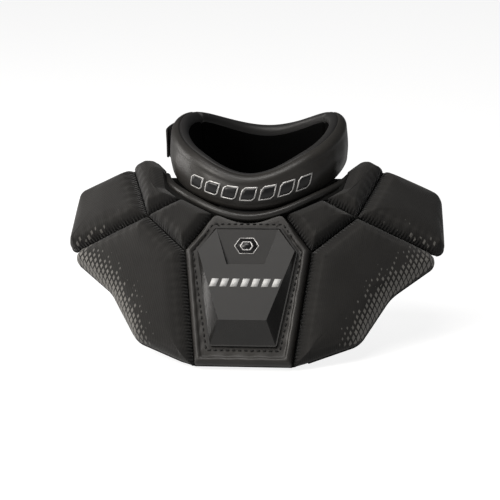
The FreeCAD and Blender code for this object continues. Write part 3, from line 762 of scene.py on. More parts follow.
def inset(flat, amount):
    """The outline moved inwards with mitred corners."""
    before = flat - np.roll(flat, 1, axis=0)
    after = np.roll(flat, -1, axis=0) - flat
    before /= np.linalg.norm(before, axis=1)[:, None]
    after /= np.linalg.norm(after, axis=1)[:, None]
    n0 = np.stack([-before[:, 1], before[:, 0]], axis=1)
    n1 = np.stack([-after[:, 1], after[:, 0]], axis=1)
    mitre = (n0 + n1) / (1 + np.sum(n0 * n1, axis=1))[:, None]
    return flat + mitre * amount


def filled(flat, counts):
    """Points along every side of an outline, as many as counts says."""
    after = np.roll(flat, -1, axis=0)
    return np.concatenate([
        p + (q - p) * (np.arange(n) / n)[:, None] for p, q, n in zip(flat, after, counts)
    ])


def pad_mesh(name, flat, axes, profile, crown, materials, spacing=3.0):
    """A closed pad: rings up its profile, then on towards the middle under a low crown."""
    origin, across, up, out = axes
    sides = np.linalg.norm(np.roll(flat, -1, axis=0) - flat, axis=1)
    counts = np.maximum(1, np.ceil(sides / spacing).astype(int))
    rings = [(filled(inset(flat, amount), counts), height) for amount, height in profile]
    last, top = rings[-1]
    middle = (last.max(axis=0) + last.min(axis=0)) / 2 * 0.4 + last.mean(axis=0) * 0.6
    steps = 9
    for i in range(1, steps):
        keep = 1 - i / steps
        rings.append((middle + (last - middle) * keep, top + crown * (1 - keep ** 2)))
    points = []
    for ring, height in rings:
        points += [origin + (across * x + up * y + out * height) * MM for x, y in ring]
    count = len(last)
    made = piece(name, points, rings_joined(len(rings), count), materials)
    work = bmesh.new()
    work.from_mesh(made.data)
    bmesh.ops.triangulate(work, faces=[f for f in work.faces if len(f.verts) > 4])
    work.to_mesh(made.data)
    work.free()
    held = made.vertex_groups.new(name="sewn")
    held.add(list(range(3 * count)), 1.0, "REPLACE")
    return made


def coordinates(mesh):
    """A mesh's points, one row each."""
    points = np.empty(len(mesh.vertices) * 3)
    mesh.vertices.foreach_get("co", points)
    return points.reshape(-1, 3)


def move_points(made, points):
    """Moves a piece's points to new places and keeps its faces smooth."""
    made.data.vertices.foreach_set("co", points.ravel())
    made.data.update()
    made.data.polygons.foreach_set("use_smooth", [True] * len(made.data.polygons))


CLOTH_FRAMES = 20


def swell(objects, pressure, cap):
    """Cloth under pressure, held at the sewn edge; no point moves further than cap."""
    scene = bpy.context.scene
    starts = [coordinates(made.data) for made in objects]
    for made in objects:
        cloth = made.modifiers.new("swell", "CLOTH")
        cloth.settings.quality = 4
        cloth.settings.mass = 0.15
        cloth.settings.tension_stiffness = 12
        cloth.settings.compression_stiffness = 12
        cloth.settings.shear_stiffness = 4
        cloth.settings.bending_stiffness = 0.3
        cloth.settings.use_pressure = True
        cloth.settings.uniform_pressure_force = pressure
        cloth.settings.effector_weights.gravity = 0
        cloth.settings.vertex_group_mass = "sewn"
        cloth.collision_settings.use_collision = False
        cloth.point_cache.frame_end = CLOTH_FRAMES
    for number in range(1, CLOTH_FRAMES + 1):
        scene.frame_set(number)
    graph = bpy.context.evaluated_depsgraph_get()
    results = [coordinates(made.evaluated_get(graph).to_mesh()) for made in objects]
    scene.frame_set(1)
    for made, start, result in zip(objects, starts, results):
        made.modifiers.clear()
        move = np.nan_to_num(result - start)
        length = np.linalg.norm(move, axis=1)[:, None]
        move *= np.minimum(1, cap * MM / np.maximum(length, 1e-9))
        move_points(made, start + move)


def subdivided(made):
    """One subdivision, kept in the mesh; gives its points."""
    made.modifiers.new("fine", "SUBSURF").levels = 1
    graph = bpy.context.evaluated_depsgraph_get()
    fine = bpy.data.meshes.new_from_object(made.evaluated_get(graph))
    made.modifiers.clear()
    made.data = fine
    return coordinates(fine)


def dense(flat, spacing=0.7):
    """An outline as closely spaced points."""
    sides = np.linalg.norm(np.roll(flat, -1, axis=0) - flat, axis=1)
    return filled(flat, np.maximum(1, np.ceil(sides / spacing).astype(int)))


def in_space(flat, axes):
    """Flat points in the frame, as an array in metres."""
    origin, across, up, _ = (np.array(v) for v in axes)
    return origin + (flat[:, :1] * across + flat[:, 1:] * up) * MM


def nearest(points, others):
    """For each point the distance to the nearest of the others, and which."""
    tree = KDTree(len(others))
    for i, other in enumerate(others):
        tree.insert((*other, 0)[:3], i)
    tree.balance()
    found = [tree.find((*point, 0)[:3]) for point in points]
    return np.array([f[2] for f in found]), np.array([f[1] for f in found])


PAD_NAMES = ["clavicle", "shoulder", "chest", "cap"]
PAD_BODY = {"clavicle": "wing", "shoulder": "wing", "chest": "wing", "cap": "cap"}
CORE_TO_COVER = 1.2
outlines = {"sternum": back_outline("sternum_foam", CORE_TO_COVER)}
for side in ("left", "right"):
    for pad in PAD_NAMES:
        outlines[f"{side}_{pad}"] = back_outline(f"{side}_{pad}_foam", CORE_TO_COVER)
edges = {key: in_space(dense(flat), axes) for key, (flat, axes) in outlines.items()}


def sewn_weight(key):
    """Along a pad's dense outline, 1 where another pad is sewn on and 0 at a free edge."""
    side = key.split("_")[0]
    others = [
        line for other, line in edges.items()
        if other != key and (other == "sternum" or side == "sternum" or other.startswith(side))
    ]
    apart, _ = nearest(edges[key], np.concatenate(others))
    return np.clip((4.5 * MM - apart) / (2 * MM), 0, 1)


pads = {}
for key, (flat, axes) in outlines.items():
    if key == "sternum":
        continue
    crown = 1.0 if "clavicle" in key else 1.6
    pads[key] = pad_mesh(f"{key}_pad", flat, axes, PAD_PROFILE, crown, [knit])
PRESSURE, MOST_SWELL = 3.0, 1.0
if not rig.quick():
    swell(list(pads.values()), PRESSURE, MOST_SWELL)

# Along a seam: from one gather to the next, and how far gathers, folds and the seam itself go.
TUCK_PITCH, PUCKER, DRAG_FOLD, SEAM_SINK = 5.0, 0.6, 0.65, 1.0
UNEVEN = 0.42

for key, made in pads.items():
    flat, axes = outlines[key]
    origin, across_axis, up_axis, out_axis = (np.array(v) for v in axes)
    points = subdivided(made)
    line = dense(flat)
    sewn = sewn_weight(key)
    steps = np.linalg.norm(np.roll(line, -1, axis=0) - line, axis=1)
    travelled = np.cumsum(steps) - steps
    local = (points - origin) / MM
    spot = np.stack([local @ across_axis, local @ up_axis], axis=1)
    height = local @ out_axis
    depth, which = nearest(spot, line)
    at_seam = sewn[which]
    along = travelled[which]
    turn = along * 2 * math.pi / TUCK_PITCH + 1.4 * np.sin(along / 8.0) + len(key)
    gather = 0.62 * np.cos(turn) + 0.38 * np.cos(2.3 * turn + 1.1)
    drag = np.cos(turn * 0.37 + 0.8) * np.cos(turn * 0.23)
    raised = np.clip(height / 4, 0, 1)
    move = at_seam * raised * (PUCKER * gather * np.exp(-(depth / 2.8) ** 2))
    move += at_seam * raised * DRAG_FOLD * drag * np.exp(-((depth - 6) / 6.0) ** 2)
    move -= at_seam * raised * SEAM_SINK * np.exp(-(depth / 2.0) ** 2)
    lump = (
        np.sin(spot[:, 0] / 13 + 1.1) * np.sin(spot[:, 1] / 11 + 0.4)
        + 0.5 * np.sin(spot[:, 0] / 6.1 + spot[:, 1] / 8.7)
    )
    move += UNEVEN * lump * np.clip((depth - 3) / 12, 0, 1) * (height > 6)
    points = points + out_axis * (move * MM)[:, None]
    move_points(made, points)

    # the print is strongest along the free outer edge and breaks up towards the middle
    x = np.abs(points[:, 0]) / MM
    z = points[:, 2] / MM
    if "chest" in key:
        outward = np.abs(in_space(line, axes)[:, 0]) / MM
        rim = line[(sewn < 0.5) & (outward > 84)]
        away, _ = nearest(spot, rim)
        strength = np.clip(1.05 - away / 34, 0, 1) * np.clip((x - 78) / 24, 0, 1)
    elif "cap" in key:
        fold = line[sewn > 0.5]
        place = in_space(fold, axes)
        low_edge = fold[place[:, 2] < -0.047]
        away, _ = nearest(spot, low_edge)
        strength = np.clip(0.62 - away / 22, 0, 1) * np.clip((x - 112) / 34, 0, 1)
    else:
        strength = np.zeros(len(points))
    strength = strength * np.clip((height - 3.5) / 3.5, 0, 1)
    worn_edge = np.clip(1 - np.abs(depth - 7.8) / 2.4, 0, 1) * (height > 8) * 0.5
    # near the sewn edges a mask is stored both for the painted shade in the seam valleys and for the gathers
    for name, values in (
        ("print", strength), ("rubbed", worn_edge), ("seam_along", along),
        ("by_seam", at_seam * np.exp(-(depth / 2.3) ** 2)),
    ):
        made.data.attributes.new(name, "FLOAT", "POINT").data.foreach_set("value", values)
    corners = np.empty(len(made.data.loops), int)
    made.data.loops.foreach_get("vertex_index", corners)
    made.data.uv_layers.new(name="weave").data.foreach_set("uv", spot[corners].ravel())

    side, pad = key.split("_")
    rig.ride(made, f"{side}_{PAD_BODY[pad]}")
    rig.replaces(made, f"{key}_foam", f"{key}_cover")
    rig.slot(made, "knit_cover")
    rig.padded(made, fill=0.85)

# ---------------------------------------------------------------- the backing of the wings
# A dark spacer mesh is cut a little larger than the pads and sewn behind them, one sheet to a
# wing, so that a thin dark edge shows under their rim.
backing_mesh, start = new_material("spacer_mesh")
holes = start.cells(520)
thread = start.grain(1700, 3, 0.7)
surface(
    start,
    Base_Color=holes.between(0.15, 0.45).tint((0.003, 0.003, 0.003, 1), (0.022, 0.021, 0.020, 1)),
    Roughness=thread * 0.15 + 0.78, Specular_IOR_Level=0.25,
    Normal=holes.between(0.1, 0.5).bump(0.0007, 0.8, thread.bump(0.0002, 0.4)),
)
BACK_PROFILE = [(0.6, -1.5), (0.1, -1.1), (0, -0.7), (0.1, -0.3), (0.5, -0.1)]
SEAM_MARGIN, FREE_MARGIN = 0.38, 1.2


def backing(name, keys, node, body):
    """One sheet of backing behind the pads that keys names."""
    points, faces = [], []
    for key in keys:
        flat, axes = outlines[key]
        line = in_space(flat, axes)
        others = [edge for other, edge in edges.items() if other != key]
        apart, _ = nearest(line, np.concatenate(others))
        let_out = np.where(apart < 4 * MM, SEAM_MARGIN, FREE_MARGIN)
        unit = inset(flat, -1.0) - flat
        reach = np.linalg.norm(unit, axis=1)[:, None]
        unit = unit / np.maximum(reach, 1.0)
        let_out = np.minimum(let_out, np.roll(let_out, 1))
        grown = flat + unit * let_out[:, None]
        sheet = pad_mesh(name + "_part", grown, axes, BACK_PROFILE, 0.0, [], 4.0)
        first = len(points)
        points += [v.co.copy() for v in sheet.data.vertices]
        faces += [tuple(first + i for i in face.vertices) for face in sheet.data.polygons]
        bpy.data.objects.remove(sheet)
    made = piece(name, points, faces, [backing_mesh])
    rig.ride(made, body)
    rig.replaces(made, node)
    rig.slot(made, "mesh_liner")


for side in ("left", "right"):
    wing_keys = [f"{side}_chest", f"{side}_clavicle", f"{side}_shoulder"]
    backing(f"{side}_wing_backing", wing_keys, f"{side}_wing_liner", f"{side}_wing")
    backing(f"{side}_cap_backing", [f"{side}_cap"], f"{side}_cap_liner", f"{side}_cap")
backing("sternum_backing", ["sternum"], "sternum_liner", "bib")

# ---------------------------------------------------------------- the sternum panel
# A foam panel in coated leather.  Its edge is rolled over piping cord and sewn down, and it
# lies flat inside that, where the shield sits.
panel_leather = leather(
    "panel_leather", (0.027, 0.025, 0.023, 1), (0.043, 0.040, 0.036, 1), 0.46, 1700
)
PANEL_PROFILE = [
    (0, 0), (0, 2.5), (0.05, 5), (0.35, 7), (0.9, 8.6), (1.8, 9.9), (3.0, 10.8), (4.2, 11.1),
    (5.3, 10.9), (6.3, 10.3), (7.0, 9.6), (7.8, 9.5),
]
flat, axes = outlines["sternum"]
panel = pad_mesh("sternum_pad", flat, axes, PANEL_PROFILE, 0.2, [panel_leather], 2.2)
points = subdivided(panel)
origin, across_axis, up_axis, out_axis = (np.array(v) for v in axes)
panel_origin = np.array((0, -84, -48.9)) * MM
LEAN = math.radians(30.2)
panel_down = np.array((0, -math.sin(LEAN), -math.cos(LEAN)))
local = (points - panel_origin) / MM
half, drop, height = local[:, 0], local @ panel_down, local @ out_axis
rim = (in_space(dense(flat), axes) - panel_origin) / MM
depth, _ = nearest(
    np.stack([half, drop], axis=1), np.stack([rim[:, 0], rim @ panel_down], axis=1)
)
ROLL_HEIGHT, TOP_HEIGHT = 6, 10.6
top_part = np.clip((14 - drop) / 10, 0, 1) * np.clip((44 - np.abs(half)) / 8, 0, 1)
level = np.clip((height - ROLL_HEIGHT) / 2, 0, 1)
ripple = 0.22 * np.sin(half / 3.1 + drop / 2.6) * np.exp(-((depth - 7) / 2) ** 2)
move = top_part * level * (TOP_HEIGHT - height) * 0.9 + (1 - top_part) * level * ripple
move_points(panel, points + out_axis * (move * MM)[:, None])
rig.ride(panel, "bib")
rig.replaces(panel, "sternum_cover", "sternum_foam")
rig.slot(panel, "panel_leather")
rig.padded(panel, fill=0.9)

# ---------------------------------------------------------------- the stitching round the shield
# One line of thick thread holds the panel's leather down all round, three millimetres outside
# the shield.  Each stitch is a short run of thread that sinks into the leather at both ends.
thread_finish, start = new_material("thread")
twist = start.grain(2400, 2, 0.6, (1, 1, 0.4))
surface(
    start, Base_Color=twist.tint((0.002, 0.002, 0.002, 1), (0.006, 0.006, 0.006, 1)),
    Roughness=0.6, Normal=twist.bump(0.0002, 0.6),
)
SHIELD = [(-30.3, 1.2), (30.3, 1.2), (46.3, 24), (30.5, 111), (-30.5, 111), (-46.3, 24)]


def on_panel(half, drop, height):
    """A point over the panel, by half width, distance down it and height off its back."""
    return panel_origin + (np.array((half, 0, 0)) + panel_down * drop + out_axis * height) * MM


STITCH, STITCH_PITCH, THREAD, STITCH_OFF = 3.4, 5.6, 0.62, 3.2
UPPER_SEAT, LOWER_SEAT = 10.7, 9.9
THREAD_SIDES = 8
# One stitch from end to end, as (place along it, thickness, lift).
STITCH_SHAPE = [
    (-0.5, 0.05, -0.4), (-0.44, 0.7, -0.05), (-0.25, 1, 0.22), (0, 1, 0.3),
    (0.25, 1, 0.22), (0.44, 0.7, -0.05), (0.5, 0.05, -0.4),
]
stitch_line = inset(np.array(SHIELD), -STITCH_OFF)
points, faces = [], []
for start_at, end_at in zip(stitch_line, np.roll(stitch_line, -1, axis=0)):
    length = np.linalg.norm(end_at - start_at)
    run = (end_at - start_at) / length
    count = round(length / STITCH_PITCH)
    for i in range(count):
        middle = start_at + run * length * (i + 0.5) / count
        seat = LOWER_SEAT if middle[1] > 12 else UPPER_SEAT
        faces += rings_joined(len(STITCH_SHAPE), THREAD_SIDES, len(points))
        for at, thickness, lift in STITCH_SHAPE:
            spot = middle + run * at * STITCH
            for k in range(THREAD_SIDES):
                turn = k * 2 * math.pi / THREAD_SIDES
                aside = np.array((-run[1], run[0])) * math.cos(turn) * THREAD * thickness
                rise = lift + math.sin(turn) * THREAD * thickness
                points.append(on_panel(spot[0] + aside[0], spot[1] + aside[1], seat + rise))
stitches = piece("sternum_stitches", points, faces, [thread_finish])
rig.ride(stitches, "bib")
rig.slot(stitches, "panel_leather")

# ---------------------------------------------------------------- the sternum shield
# Moulded in one piece of tough plastic: a satin face that rises towards the chest, glossy sides
# and a sunk pocket at the top.  Its edges are softly broken.
shield_plastic, start = new_material("moulded_plastic")
texture = start.cells(2600)
haze = start.grain(40, 4, 0.6)
scratch = start.grain(90, 6, 0.8, (1, 1, 0.15))
normal_here = start.node("NewGeometry", out=1)
out_way = tuple(float(c) for c in out_axis)
level_face = start.node(
    "VectorMath", {"operation": "DOT_PRODUCT"}, {0: normal_here, 1: out_way}, out=1
).between(0.965, 0.985)
rough = level_face * (haze * 0.08 + 0.28) + (scratch * 0.12 + 0.12)
surface(
    start, Base_Color=(haze * 0.6 + scratch * 0.4).between(0.3, 0.7).tint(
        (0.0130, 0.0124, 0.0116, 1), (0.0190, 0.0181, 0.0170, 1)
    ),
    Roughness=rough, Specular_IOR_Level=0.55,
    Normal=texture.bump(0.00006, 0.35, scratch.bump(0.0001, 0.2)),
)
shield = frame["nodes"]["sternum_shield"]
shield.data.materials.clear()
shield.data.materials.append(shield_plastic)
weld = shield.modifiers.new("weld", "WELD")
weld.merge_threshold = 1e-5
rounding = shield.modifiers.new("broken_edges", "BEVEL")
rounding.width = 1.7 * MM
rounding.segments = 3
rounding.limit_method = "ANGLE"
rounding.angle_limit = math.radians(14)
rounding.harden_normals = True

# ---------------------------------------------------------------- the marks on the shield
# A plain six-sided plate with two raised silver lines lies in the pocket.  A row of slanted
# white dashes is printed on the face below it.
white_print, start = new_material("white_print")
chips = start.grain(500, 5, 0.7)
surface(
    start, Base_Color=chips.between(0.3, 0.5).tint((0.45, 0.45, 0.44, 1), (0.78, 0.78, 0.77, 1)),
    Roughness=0.5, Normal=chips.bump(0.0001, 0.3),
)
SHIELD_BASE, SHIELD_FLANGE = 10.2, 2.4
POCKET_FLOOR = SHIELD_BASE + SHIELD_FLANGE + 1.0
SLOPE_TOP = (3.6, SHIELD_BASE + SHIELD_FLANGE + 1.2)
SLOPE_LOW = (89, SHIELD_BASE + SHIELD_FLANGE + 10)
HEX = [(-11.5, 0), (-6.5, -7.5), (6.5, -7.5), (11.5, 0), (6.5, 7.5), (-6.5, 7.5)]
PLATE_DROP = 19
DASH = [(-3.4, 58), (2.6, 58), (5.0, 50.5), (-1.0, 50.5)]
DASH_PITCH = 9.4


def face_height(drop):
    """The height of the shield's raised face."""
    share = (drop - SLOPE_TOP[0]) / (SLOPE_LOW[0] - SLOPE_TOP[0])
    return SLOPE_TOP[1] + share * (SLOPE_LOW[1] - SLOPE_TOP[1])


def hexagons(rings):
    """Six-sided rings over the pocket's floor, each from its (size, lift)."""
    return [
        on_panel(x * keep, PLATE_DROP + y * keep, POCKET_FLOOR + lift)
        for keep, lift in rings for x, y in HEX
    ]


outer_line = [(1, -0.1), (0.985, 0.4), (0.93, 0.4), (0.91, 0.12)]
inner_line = [(0.55, 0.12), (0.53, 0.4), (0.45, 0.4), (0.43, 0.12)]
sides = len(HEX)
plate_faces = rings_joined(len(outer_line), sides)[:-2]
plate_faces += rings_joined(len(inner_line), sides, len(outer_line) * sides)[:-2]
plate = piece("pocket_plate_lines", hexagons(outer_line + inner_line), plate_faces, [silver])
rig.ride(plate, "bib")
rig.slot(plate, "badge_print")
ground = piece(
    "pocket_plate", hexagons([(0.96, -0.1), (0.96, 0.15)]), rings_joined(2, sides), [ink]
)
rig.ride(ground, "bib")
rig.slot(ground, "badge_print")

dash_points, dash_faces = [], []
for i in range(-3, 4):
    dash_faces += rings_joined(2, len(DASH), len(dash_points))
    for lift in (-0.1, 0.18):
        dash_points += [
            on_panel(i * DASH_PITCH + x, drop, face_height(drop) + lift) for x, drop in DASH
        ]
dashes = piece("shield_dashes", dash_points, dash_faces, [white_print])
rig.ride(dashes, "bib")
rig.slot(dashes, "badge_print")

# ---------------------------------------------------------------- the neckline piping
# Leather sewn over a cord runs along the top of the bib, close outside the collar, and ends
# blunt beside it.  It is one cord with a half for each side, and turns with the wings.
piping_leather = leather(
    "piping_leather", (0.020, 0.019, 0.0175, 1), (0.033, 0.031, 0.028, 1), 0.40, 1900
)
PIPE_LINE = [(0, -36.5), (45, -21.7), (79, -16)]
PIPE, PIPE_CORE, PIPE_GAP = 3.6, 3.3, 2.0
PIPE_RING = OUTER + PIPE_GAP + PIPE_CORE
PIPE_END = [(0, 2.9), (0.3, 2.0), (1.0, 1.0), (2.2, 0.3), (3.4, 0)]


def piping_section(angle):
    """A round cord."""
    z = smooth(PIPE_LINE, angle)
    return [
        (PIPE_RING + PIPE * math.cos(a * math.pi / 10), z + PIPE * math.sin(a * math.pi / 10), 0)
        for a in range(20)
    ]


def wing_seam(sign):
    """Where what runs along the neckline crosses from the bib's centre to a wing."""
    return {
        "start": around(sign * 20.5, PIPE_RING, -32), "end": around(sign * 25.5, PIPE_RING, -30),
    }


for side, sign in (("left", 1), ("right", -1)):
    angles = [(a, 0) for a in np.arange(0, 76.5, 1.5)]
    angles += [
        (PIPE_LINE[-1][0] - math.degrees(along / PIPE_RING), drawn)
        for along, drawn in reversed(PIPE_END)
    ]
    angles = [(sign * a, drawn) for a, drawn in angles]
    pipe = ring_piece(
        f"{side}_piping_cord", angles, piping_section, [piping_leather], open_start=True
    )
    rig.blend(pipe, "bib", f"{side}_wing", **wing_seam(sign))
    names = [f"{side}_neck_piping"] + (["neck_piping"] if sign > 0 else [])
    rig.replaces(pipe, *names)
    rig.slot(pipe, "piping_leather")

# ---------------------------------------------------------------- the piping's flange
# A flat strip of the near-black knit is folded round the piping's cord.  It runs on from it, and is
# sewn in along the bib's neckline.  Its near-black colour is painted shade: the flange reads as
# the shadow over the shoulder pad's inner bevel.
hinge_cloth, start = new_material("hinge_cloth")
threads = start.grain(1500, 3, 0.7)
surface(
    start, Base_Color=threads.tint((0.003, 0.003, 0.003, 1), (0.010, 0.010, 0.009, 1)),
    Roughness=0.9, Specular_IOR_Level=0.2, Normal=threads.bump(0.0003, 0.5),
)
FLANGE_REACH, FLANGE_HALF = 16, 0.55


def neckline_of(side):
    """The bib's edge that faces the neck: its angle, radius and height, a little off the back."""
    rows = []
    for key in ("sternum", f"{side}_clavicle", f"{side}_shoulder"):
        flat, axes = outlines[key]
        line = in_space(dense(flat), axes) + np.array(axes[3]) * 3.0 * MM
        rows.append(line / MM)
    line = np.concatenate(rows)
    sign = 1 if side == "left" else -1
    angle = np.degrees(np.arctan2(line[:, 0] * sign, -line[:, 1]))
    return angle, np.hypot(line[:, 0], line[:, 1]), line[:, 2]


for side, sign in (("left", 1), ("right", -1)):
    angle_of, radius_of, height_of = neckline_of(side)

    def flange_section(angle):
        """From inside the piping down to the neckline edge."""
        close = np.abs(angle_of - abs(angle)) < 1.5
        nearest_edge = np.argmin(np.where(close, radius_of, 1e9))
        z = smooth(PIPE_LINE, angle)
        start_at = np.array((PIPE_RING, z - 0.5))
        end_at = np.array((radius_of[nearest_edge] + 1.5, height_of[nearest_edge] - 0.5))
        run = end_at - start_at
        length = np.linalg.norm(run)
        run /= length
        length = min(length, FLANGE_REACH)
        off = np.array((-run[1], run[0])) * FLANGE_HALF
        rows = [start_at + run * length * t + off for t in (0, 0.25, 0.5, 0.75, 1)]
        rows += [start_at + run * length * t - off for t in (1, 0.75, 0.5, 0.25, 0)]
        return [(r, z, 0) for r, z in rows]

    # painted shade: the flange takes the near-black knit so that it shows as the shadow beside the piping
    flange = ring_piece(
        f"{side}_piping_flange", [(sign * a, 0) for a in np.arange(0, 73.1, 1.5)],
        flange_section, [hinge_cloth],
    )
    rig.blend(flange, "bib", f"{side}_wing", **wing_seam(sign))
    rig.slot(flange, "knit_cover")

# ---------------------------------------------------------------- the facing under the collar
# A strip of the same dark knit backs the piping and runs in under the collar's foot, so that no
# gap shows between the collar and the bib.
FACING_THICK = 0.9


def facing_section(angle):
    """From under the piping inwards, below the collar's foot."""
    pipe_z = smooth(PIPE_LINE, angle) - 1.8
    foot = min(pipe_z - 0.6, smooth(BASE, angle) - 1.9)
    rows = [
        (PIPE_RING - 1.0, pipe_z), (PIPE_RING - 4.5, pipe_z - 0.2), (OUTER - 2, foot + 0.3),
        (75, foot), (NECK + 1, foot),
    ]
    rows += [(r, z - FACING_THICK) for r, z in reversed(rows)]
    return [(r, z, 0) for r, z in rows]


for side, sign in (("left", 1), ("right", -1)):
    facing = ring_piece(
        f"{side}_neck_facing", [(sign * a, 0) for a in np.arange(0, 78.1, 1.5)],
        facing_section, [hinge_cloth], open_start=True,
    )
    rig.blend(facing, "bib", f"{side}_wing", **wing_seam(sign))
    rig.slot(facing, "knit_cover")

# ---------------------------------------------------------------- the folds' cloth hinges
# Behind each seam a strip of the dark knit joins the two pads, and stretches where they fold.  A
# small round patch of it closes the point where four pads meet.
TUCKED_IN, STRIP_EDGE = 2.5, 0.5
PATCH_RADIUS, PATCH_SIDES = 4.5, 12


def fold_strip(name, key_a, key_b, body_a, body_b, widest=3.5):
    """A strip behind the seam between two pads' edges, where they lie this close together."""
    line_a, line_b = edges[key_a], edges[key_b]
    apart, which = nearest(line_a, line_b)
    held = np.where(apart < widest * MM)[0]
    breaks = np.where(np.diff(held) > 1)[0]
    if len(breaks):
        held = np.concatenate([held[breaks[0] + 1:], held[:breaks[0] + 1]])
    held = np.append(held[:-1:3], held[-1])
    ends_a, ends_b = line_a[held], line_b[which[held]]
    way = (ends_b - ends_a).mean(axis=0)
    way /= np.linalg.norm(way)
    lift = (np.array(outlines[key_a][1][3]) + np.array(outlines[key_b][1][3])) / 2 * MM
    points = []
    for a, b in zip(ends_a, ends_b):
        middle = (a + b) / 2
        near, far = way * STRIP_EDGE * MM, way * TUCKED_IN * MM
        row = [a - far, a - near, middle, b + near, b + far]
        points += [p + lift * rise for p, rise in zip(row, (0.5, 0.4, 0.3, 0.4, 0.5))]
        points += [p - lift * rise for p, rise in zip(row[::-2], (0.3, 0.5, 0.3))]
    strip = piece(name, points, rings_joined(len(held), 8), [hinge_cloth])
    if body_a == body_b:
        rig.ride(strip, body_a)
    else:
        middle = (ends_a.mean(axis=0) + ends_b.mean(axis=0)) / 2
        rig.blend(
            strip, body_a, body_b,
            start=tuple(middle - way * 1.5 * MM), end=tuple(middle + way * 1.5 * MM),
        )
    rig.slot(strip, "knit_cover")


for side in ("left", "right"):
    for pad in ("clavicle", "chest"):
        fold_strip(f"{side}_{pad}_hinge_cloth", "sternum", f"{side}_{pad}", "bib", f"{side}_wing")
    for pad in ("shoulder", "chest"):
        fold_strip(
            f"{side}_{pad}_cap_cloth", f"{side}_{pad}", f"{side}_cap",
            f"{side}_wing", f"{side}_cap", 1.6,
        )
    for pad in ("chest", "shoulder"):
        fold_strip(
            f"{side}_{pad}_seam_cloth", f"{side}_clavicle", f"{side}_{pad}",
            f"{side}_wing", f"{side}_wing",
        )

    out = np.array(outlines[f"{side}_clavicle"][1][3])
    apart, _ = nearest(edges[f"{side}_clavicle"], edges[f"{side}_cap"])
    meeting = edges[f"{side}_clavicle"][int(np.argmin(apart))]
    first = np.cross(out, (0, 0, 1))
    first /= np.linalg.norm(first)
    second = np.cross(out, first)
    turns = np.linspace(0, 2 * math.pi, PATCH_SIDES, endpoint=False)
    points = [
        meeting + (
            out * (0.2 + rise) + (first * math.cos(a) + second * math.sin(a)) * PATCH_RADIUS
        ) * MM
        for rise in (0, 0.7) for a in turns
    ]
    patch = piece(
        f"{side}_meeting_patch", points, rings_joined(2, PATCH_SIDES), [hinge_cloth]
    )
    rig.ride(patch, f"{side}_wing")
    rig.slot(patch, "knit_cover")

# ---------------------------------------------------------------- the gusset under the collar
# A short strip of stretch cloth joins the foot of the collar to the piping in front, so that the
# bib can tip.  It lies in one shallow fold.
gusset_cloth, start = new_material("stretch_cloth")
cords = start.grain(1600, 3, 0.7, (1, 0.3, 1))
surface(
    start, Base_Color=cords.tint((0.006, 0.006, 0.006, 1), (0.018, 0.017, 0.017, 1)),
    Roughness=0.8, Normal=cords.bump(0.0004, 0.6),
)


def gusset_section(angle):
    """A thin strip from under the collar's foot to the piping, with a shallow fold."""
    high = smooth(BASE, angle) - 0.4
    off = min(PIPE - 0.2, abs(smooth(PIPE_LINE, angle) - high + 0.6))
    reach = PIPE_RING - math.sqrt(PIPE ** 2 - off ** 2) - 0.2
    row = []
    parts = 8
    for i in range(parts + 1):
        t = i / parts
        row.append((74 + (reach - 74) * t, high - 0.35 * math.sin(math.pi * 2 * t) ** 2, 0))
    return row + [(r, z - 1.1, 0) for r, z, _ in reversed(row)]


gusset = ring_piece(
    "neck_gusset_cloth", [(a, 0) for a in np.arange(-21, 21.1, 1.5)], gusset_section,
    [gusset_cloth],
)
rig.blend(gusset, "collar", "bib", start=(0, -0.074, -0.0335), end=(0, -0.084, -0.0345))
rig.replaces(gusset, "neck_gusset")
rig.slot(gusset, "cut_cloth")

# ---------------------------------------------------------------- floor, light and camera
# A pale floor under four soft lamps: one high in front and one low beside, both at the wearer's
# right, a weak one at the left and one overhead.  The camera looks a little down from the
# front, from slightly to the wearer's left.
FLOOR_HALF = 6
floor_height = cad_box[0][2] - 0.001
ground_mesh = bpy.data.meshes.new("floor")
ground_mesh.from_pydata(
    [
        (x * FLOOR_HALF, y * FLOOR_HALF, floor_height)
        for x, y in ((-1, -1), (1, -1), (1, 1), (-1, 1))
    ],
    [], [(0, 1, 2, 3)],
)
floor = bpy.data.objects.new("floor", ground_mesh)
bpy.context.scene.collection.objects.link(floor)
floor_paint, start = new_material("floor_paint")
seen = start.node("LightPath", out=0)
mirrored = start.node("LightPath", out=3)
shown = seen.at_least(mirrored * 0.25)
matt = start.node("BsdfDiffuse", None, {"Color": (0.40, 0.40, 0.40, 1)})
pale = start.node("Emission", None, {"Color": (1, 1, 1, 1), "Strength": 0.85})
both = start.node("AddShader", None, {0: matt, 1: pale})
mixed = start.node("MixShader", None, {0: shown, 1: matt, 2: both})
start.node("OutputMaterial", None, {"Surface": mixed})
ground_mesh.materials.append(floor_paint)
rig.stage(floor)

world = bpy.data.worlds.new("studio")
world.use_nodes = True
world.node_tree.nodes.clear()
start = Wire(world.node_tree)
seen = start.node("LightPath", out=0)
dim = start.node("Background", None, {"Color": (0.9, 0.95, 1, 1), "Strength": 0.07})
white = start.node("Background", None, {"Color": (1, 1, 1, 1), "Strength": 1.0})
mixed = start.node("MixShader", None, {0: seen, 1: dim, 2: white})
start.node("OutputWorld", None, {"Surface": mixed})
bpy.context.scene.world = world


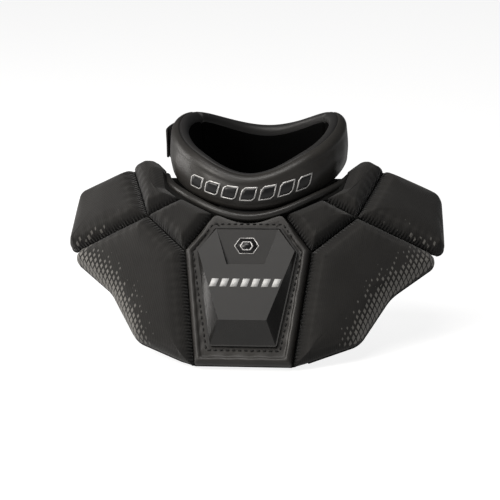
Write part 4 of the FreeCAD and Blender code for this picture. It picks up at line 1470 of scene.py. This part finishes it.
def softbox(name, place, aim, width, height, power, tone=(1, 1, 1)):
    """A rectangular lamp that faces a point."""
    data = bpy.data.lights.new(name, "AREA")
    data.shape = "RECTANGLE"
    data.size = width
    data.size_y = height
    data.energy = power
    data.color = tone
    lamp = bpy.data.objects.new(name, data)
    lamp.location = place
    lamp.rotation_euler = (Vector(aim) - Vector(place)).to_track_quat("-Z", "Y").to_euler()
    bpy.context.scene.collection.objects.link(lamp)


softbox("key", (-1.1, -1.15, 0.95), (0, -0.05, -0.05), 0.7, 0.7, 17, (1, 0.965, 0.92))
softbox("edge", (-1.5, 0.2, 0.35), (0, 0, -0.05), 0.5, 1.0, 10, (1, 0.97, 0.94))
softbox("fill", (1.3, -1.3, 0.45), (0, 0, -0.05), 1.0, 1.0, 0.6, (0.97, 0.98, 1))
softbox("top", (-0.1, -0.6, 1.5), (0, 0, 0), 1.0, 0.6, 12, (1, 0.98, 0.96))

YAW, PITCH, ROLL = math.radians(7.88), math.radians(16.3), math.radians(1.63)
DISTANCE, SIDEWAYS, UPWARDS = 1.9, -0.01152, -0.08918
SENSOR, FRAMED_WIDTH = 36, 0.4712535
right = Vector((math.cos(YAW), math.sin(YAW), 0))
forward = Vector((
    -math.sin(YAW) * math.cos(PITCH), math.cos(YAW) * math.cos(PITCH), -math.sin(PITCH)
))
upward_axis = right.cross(forward)
camera_x = right * math.cos(ROLL) - upward_axis * math.sin(ROLL)
camera_y = right * math.sin(ROLL) + upward_axis * math.cos(ROLL)
camera_data = bpy.data.cameras.new("camera")
camera_data.lens = SENSOR * DISTANCE / FRAMED_WIDTH
camera_data.sensor_width = SENSOR
camera = bpy.data.objects.new("camera", camera_data)
place = right * SIDEWAYS + upward_axis * UPWARDS - forward * DISTANCE
camera.matrix_world = Matrix((
    (camera_x.x, camera_y.x, -forward.x, place.x),
    (camera_x.y, camera_y.y, -forward.y, place.y),
    (camera_x.z, camera_y.z, -forward.z, place.z),
    (0, 0, 0, 1),
))
bpy.context.scene.collection.objects.link(camera)
bpy.context.scene.camera = camera
bpy.context.scene.view_settings.view_transform = "Standard"

with open("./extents.json", "w") as sizes:
    json.dump([[list(map(float, c)) for c in box] for box in (cad_box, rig.bounds())], sizes)
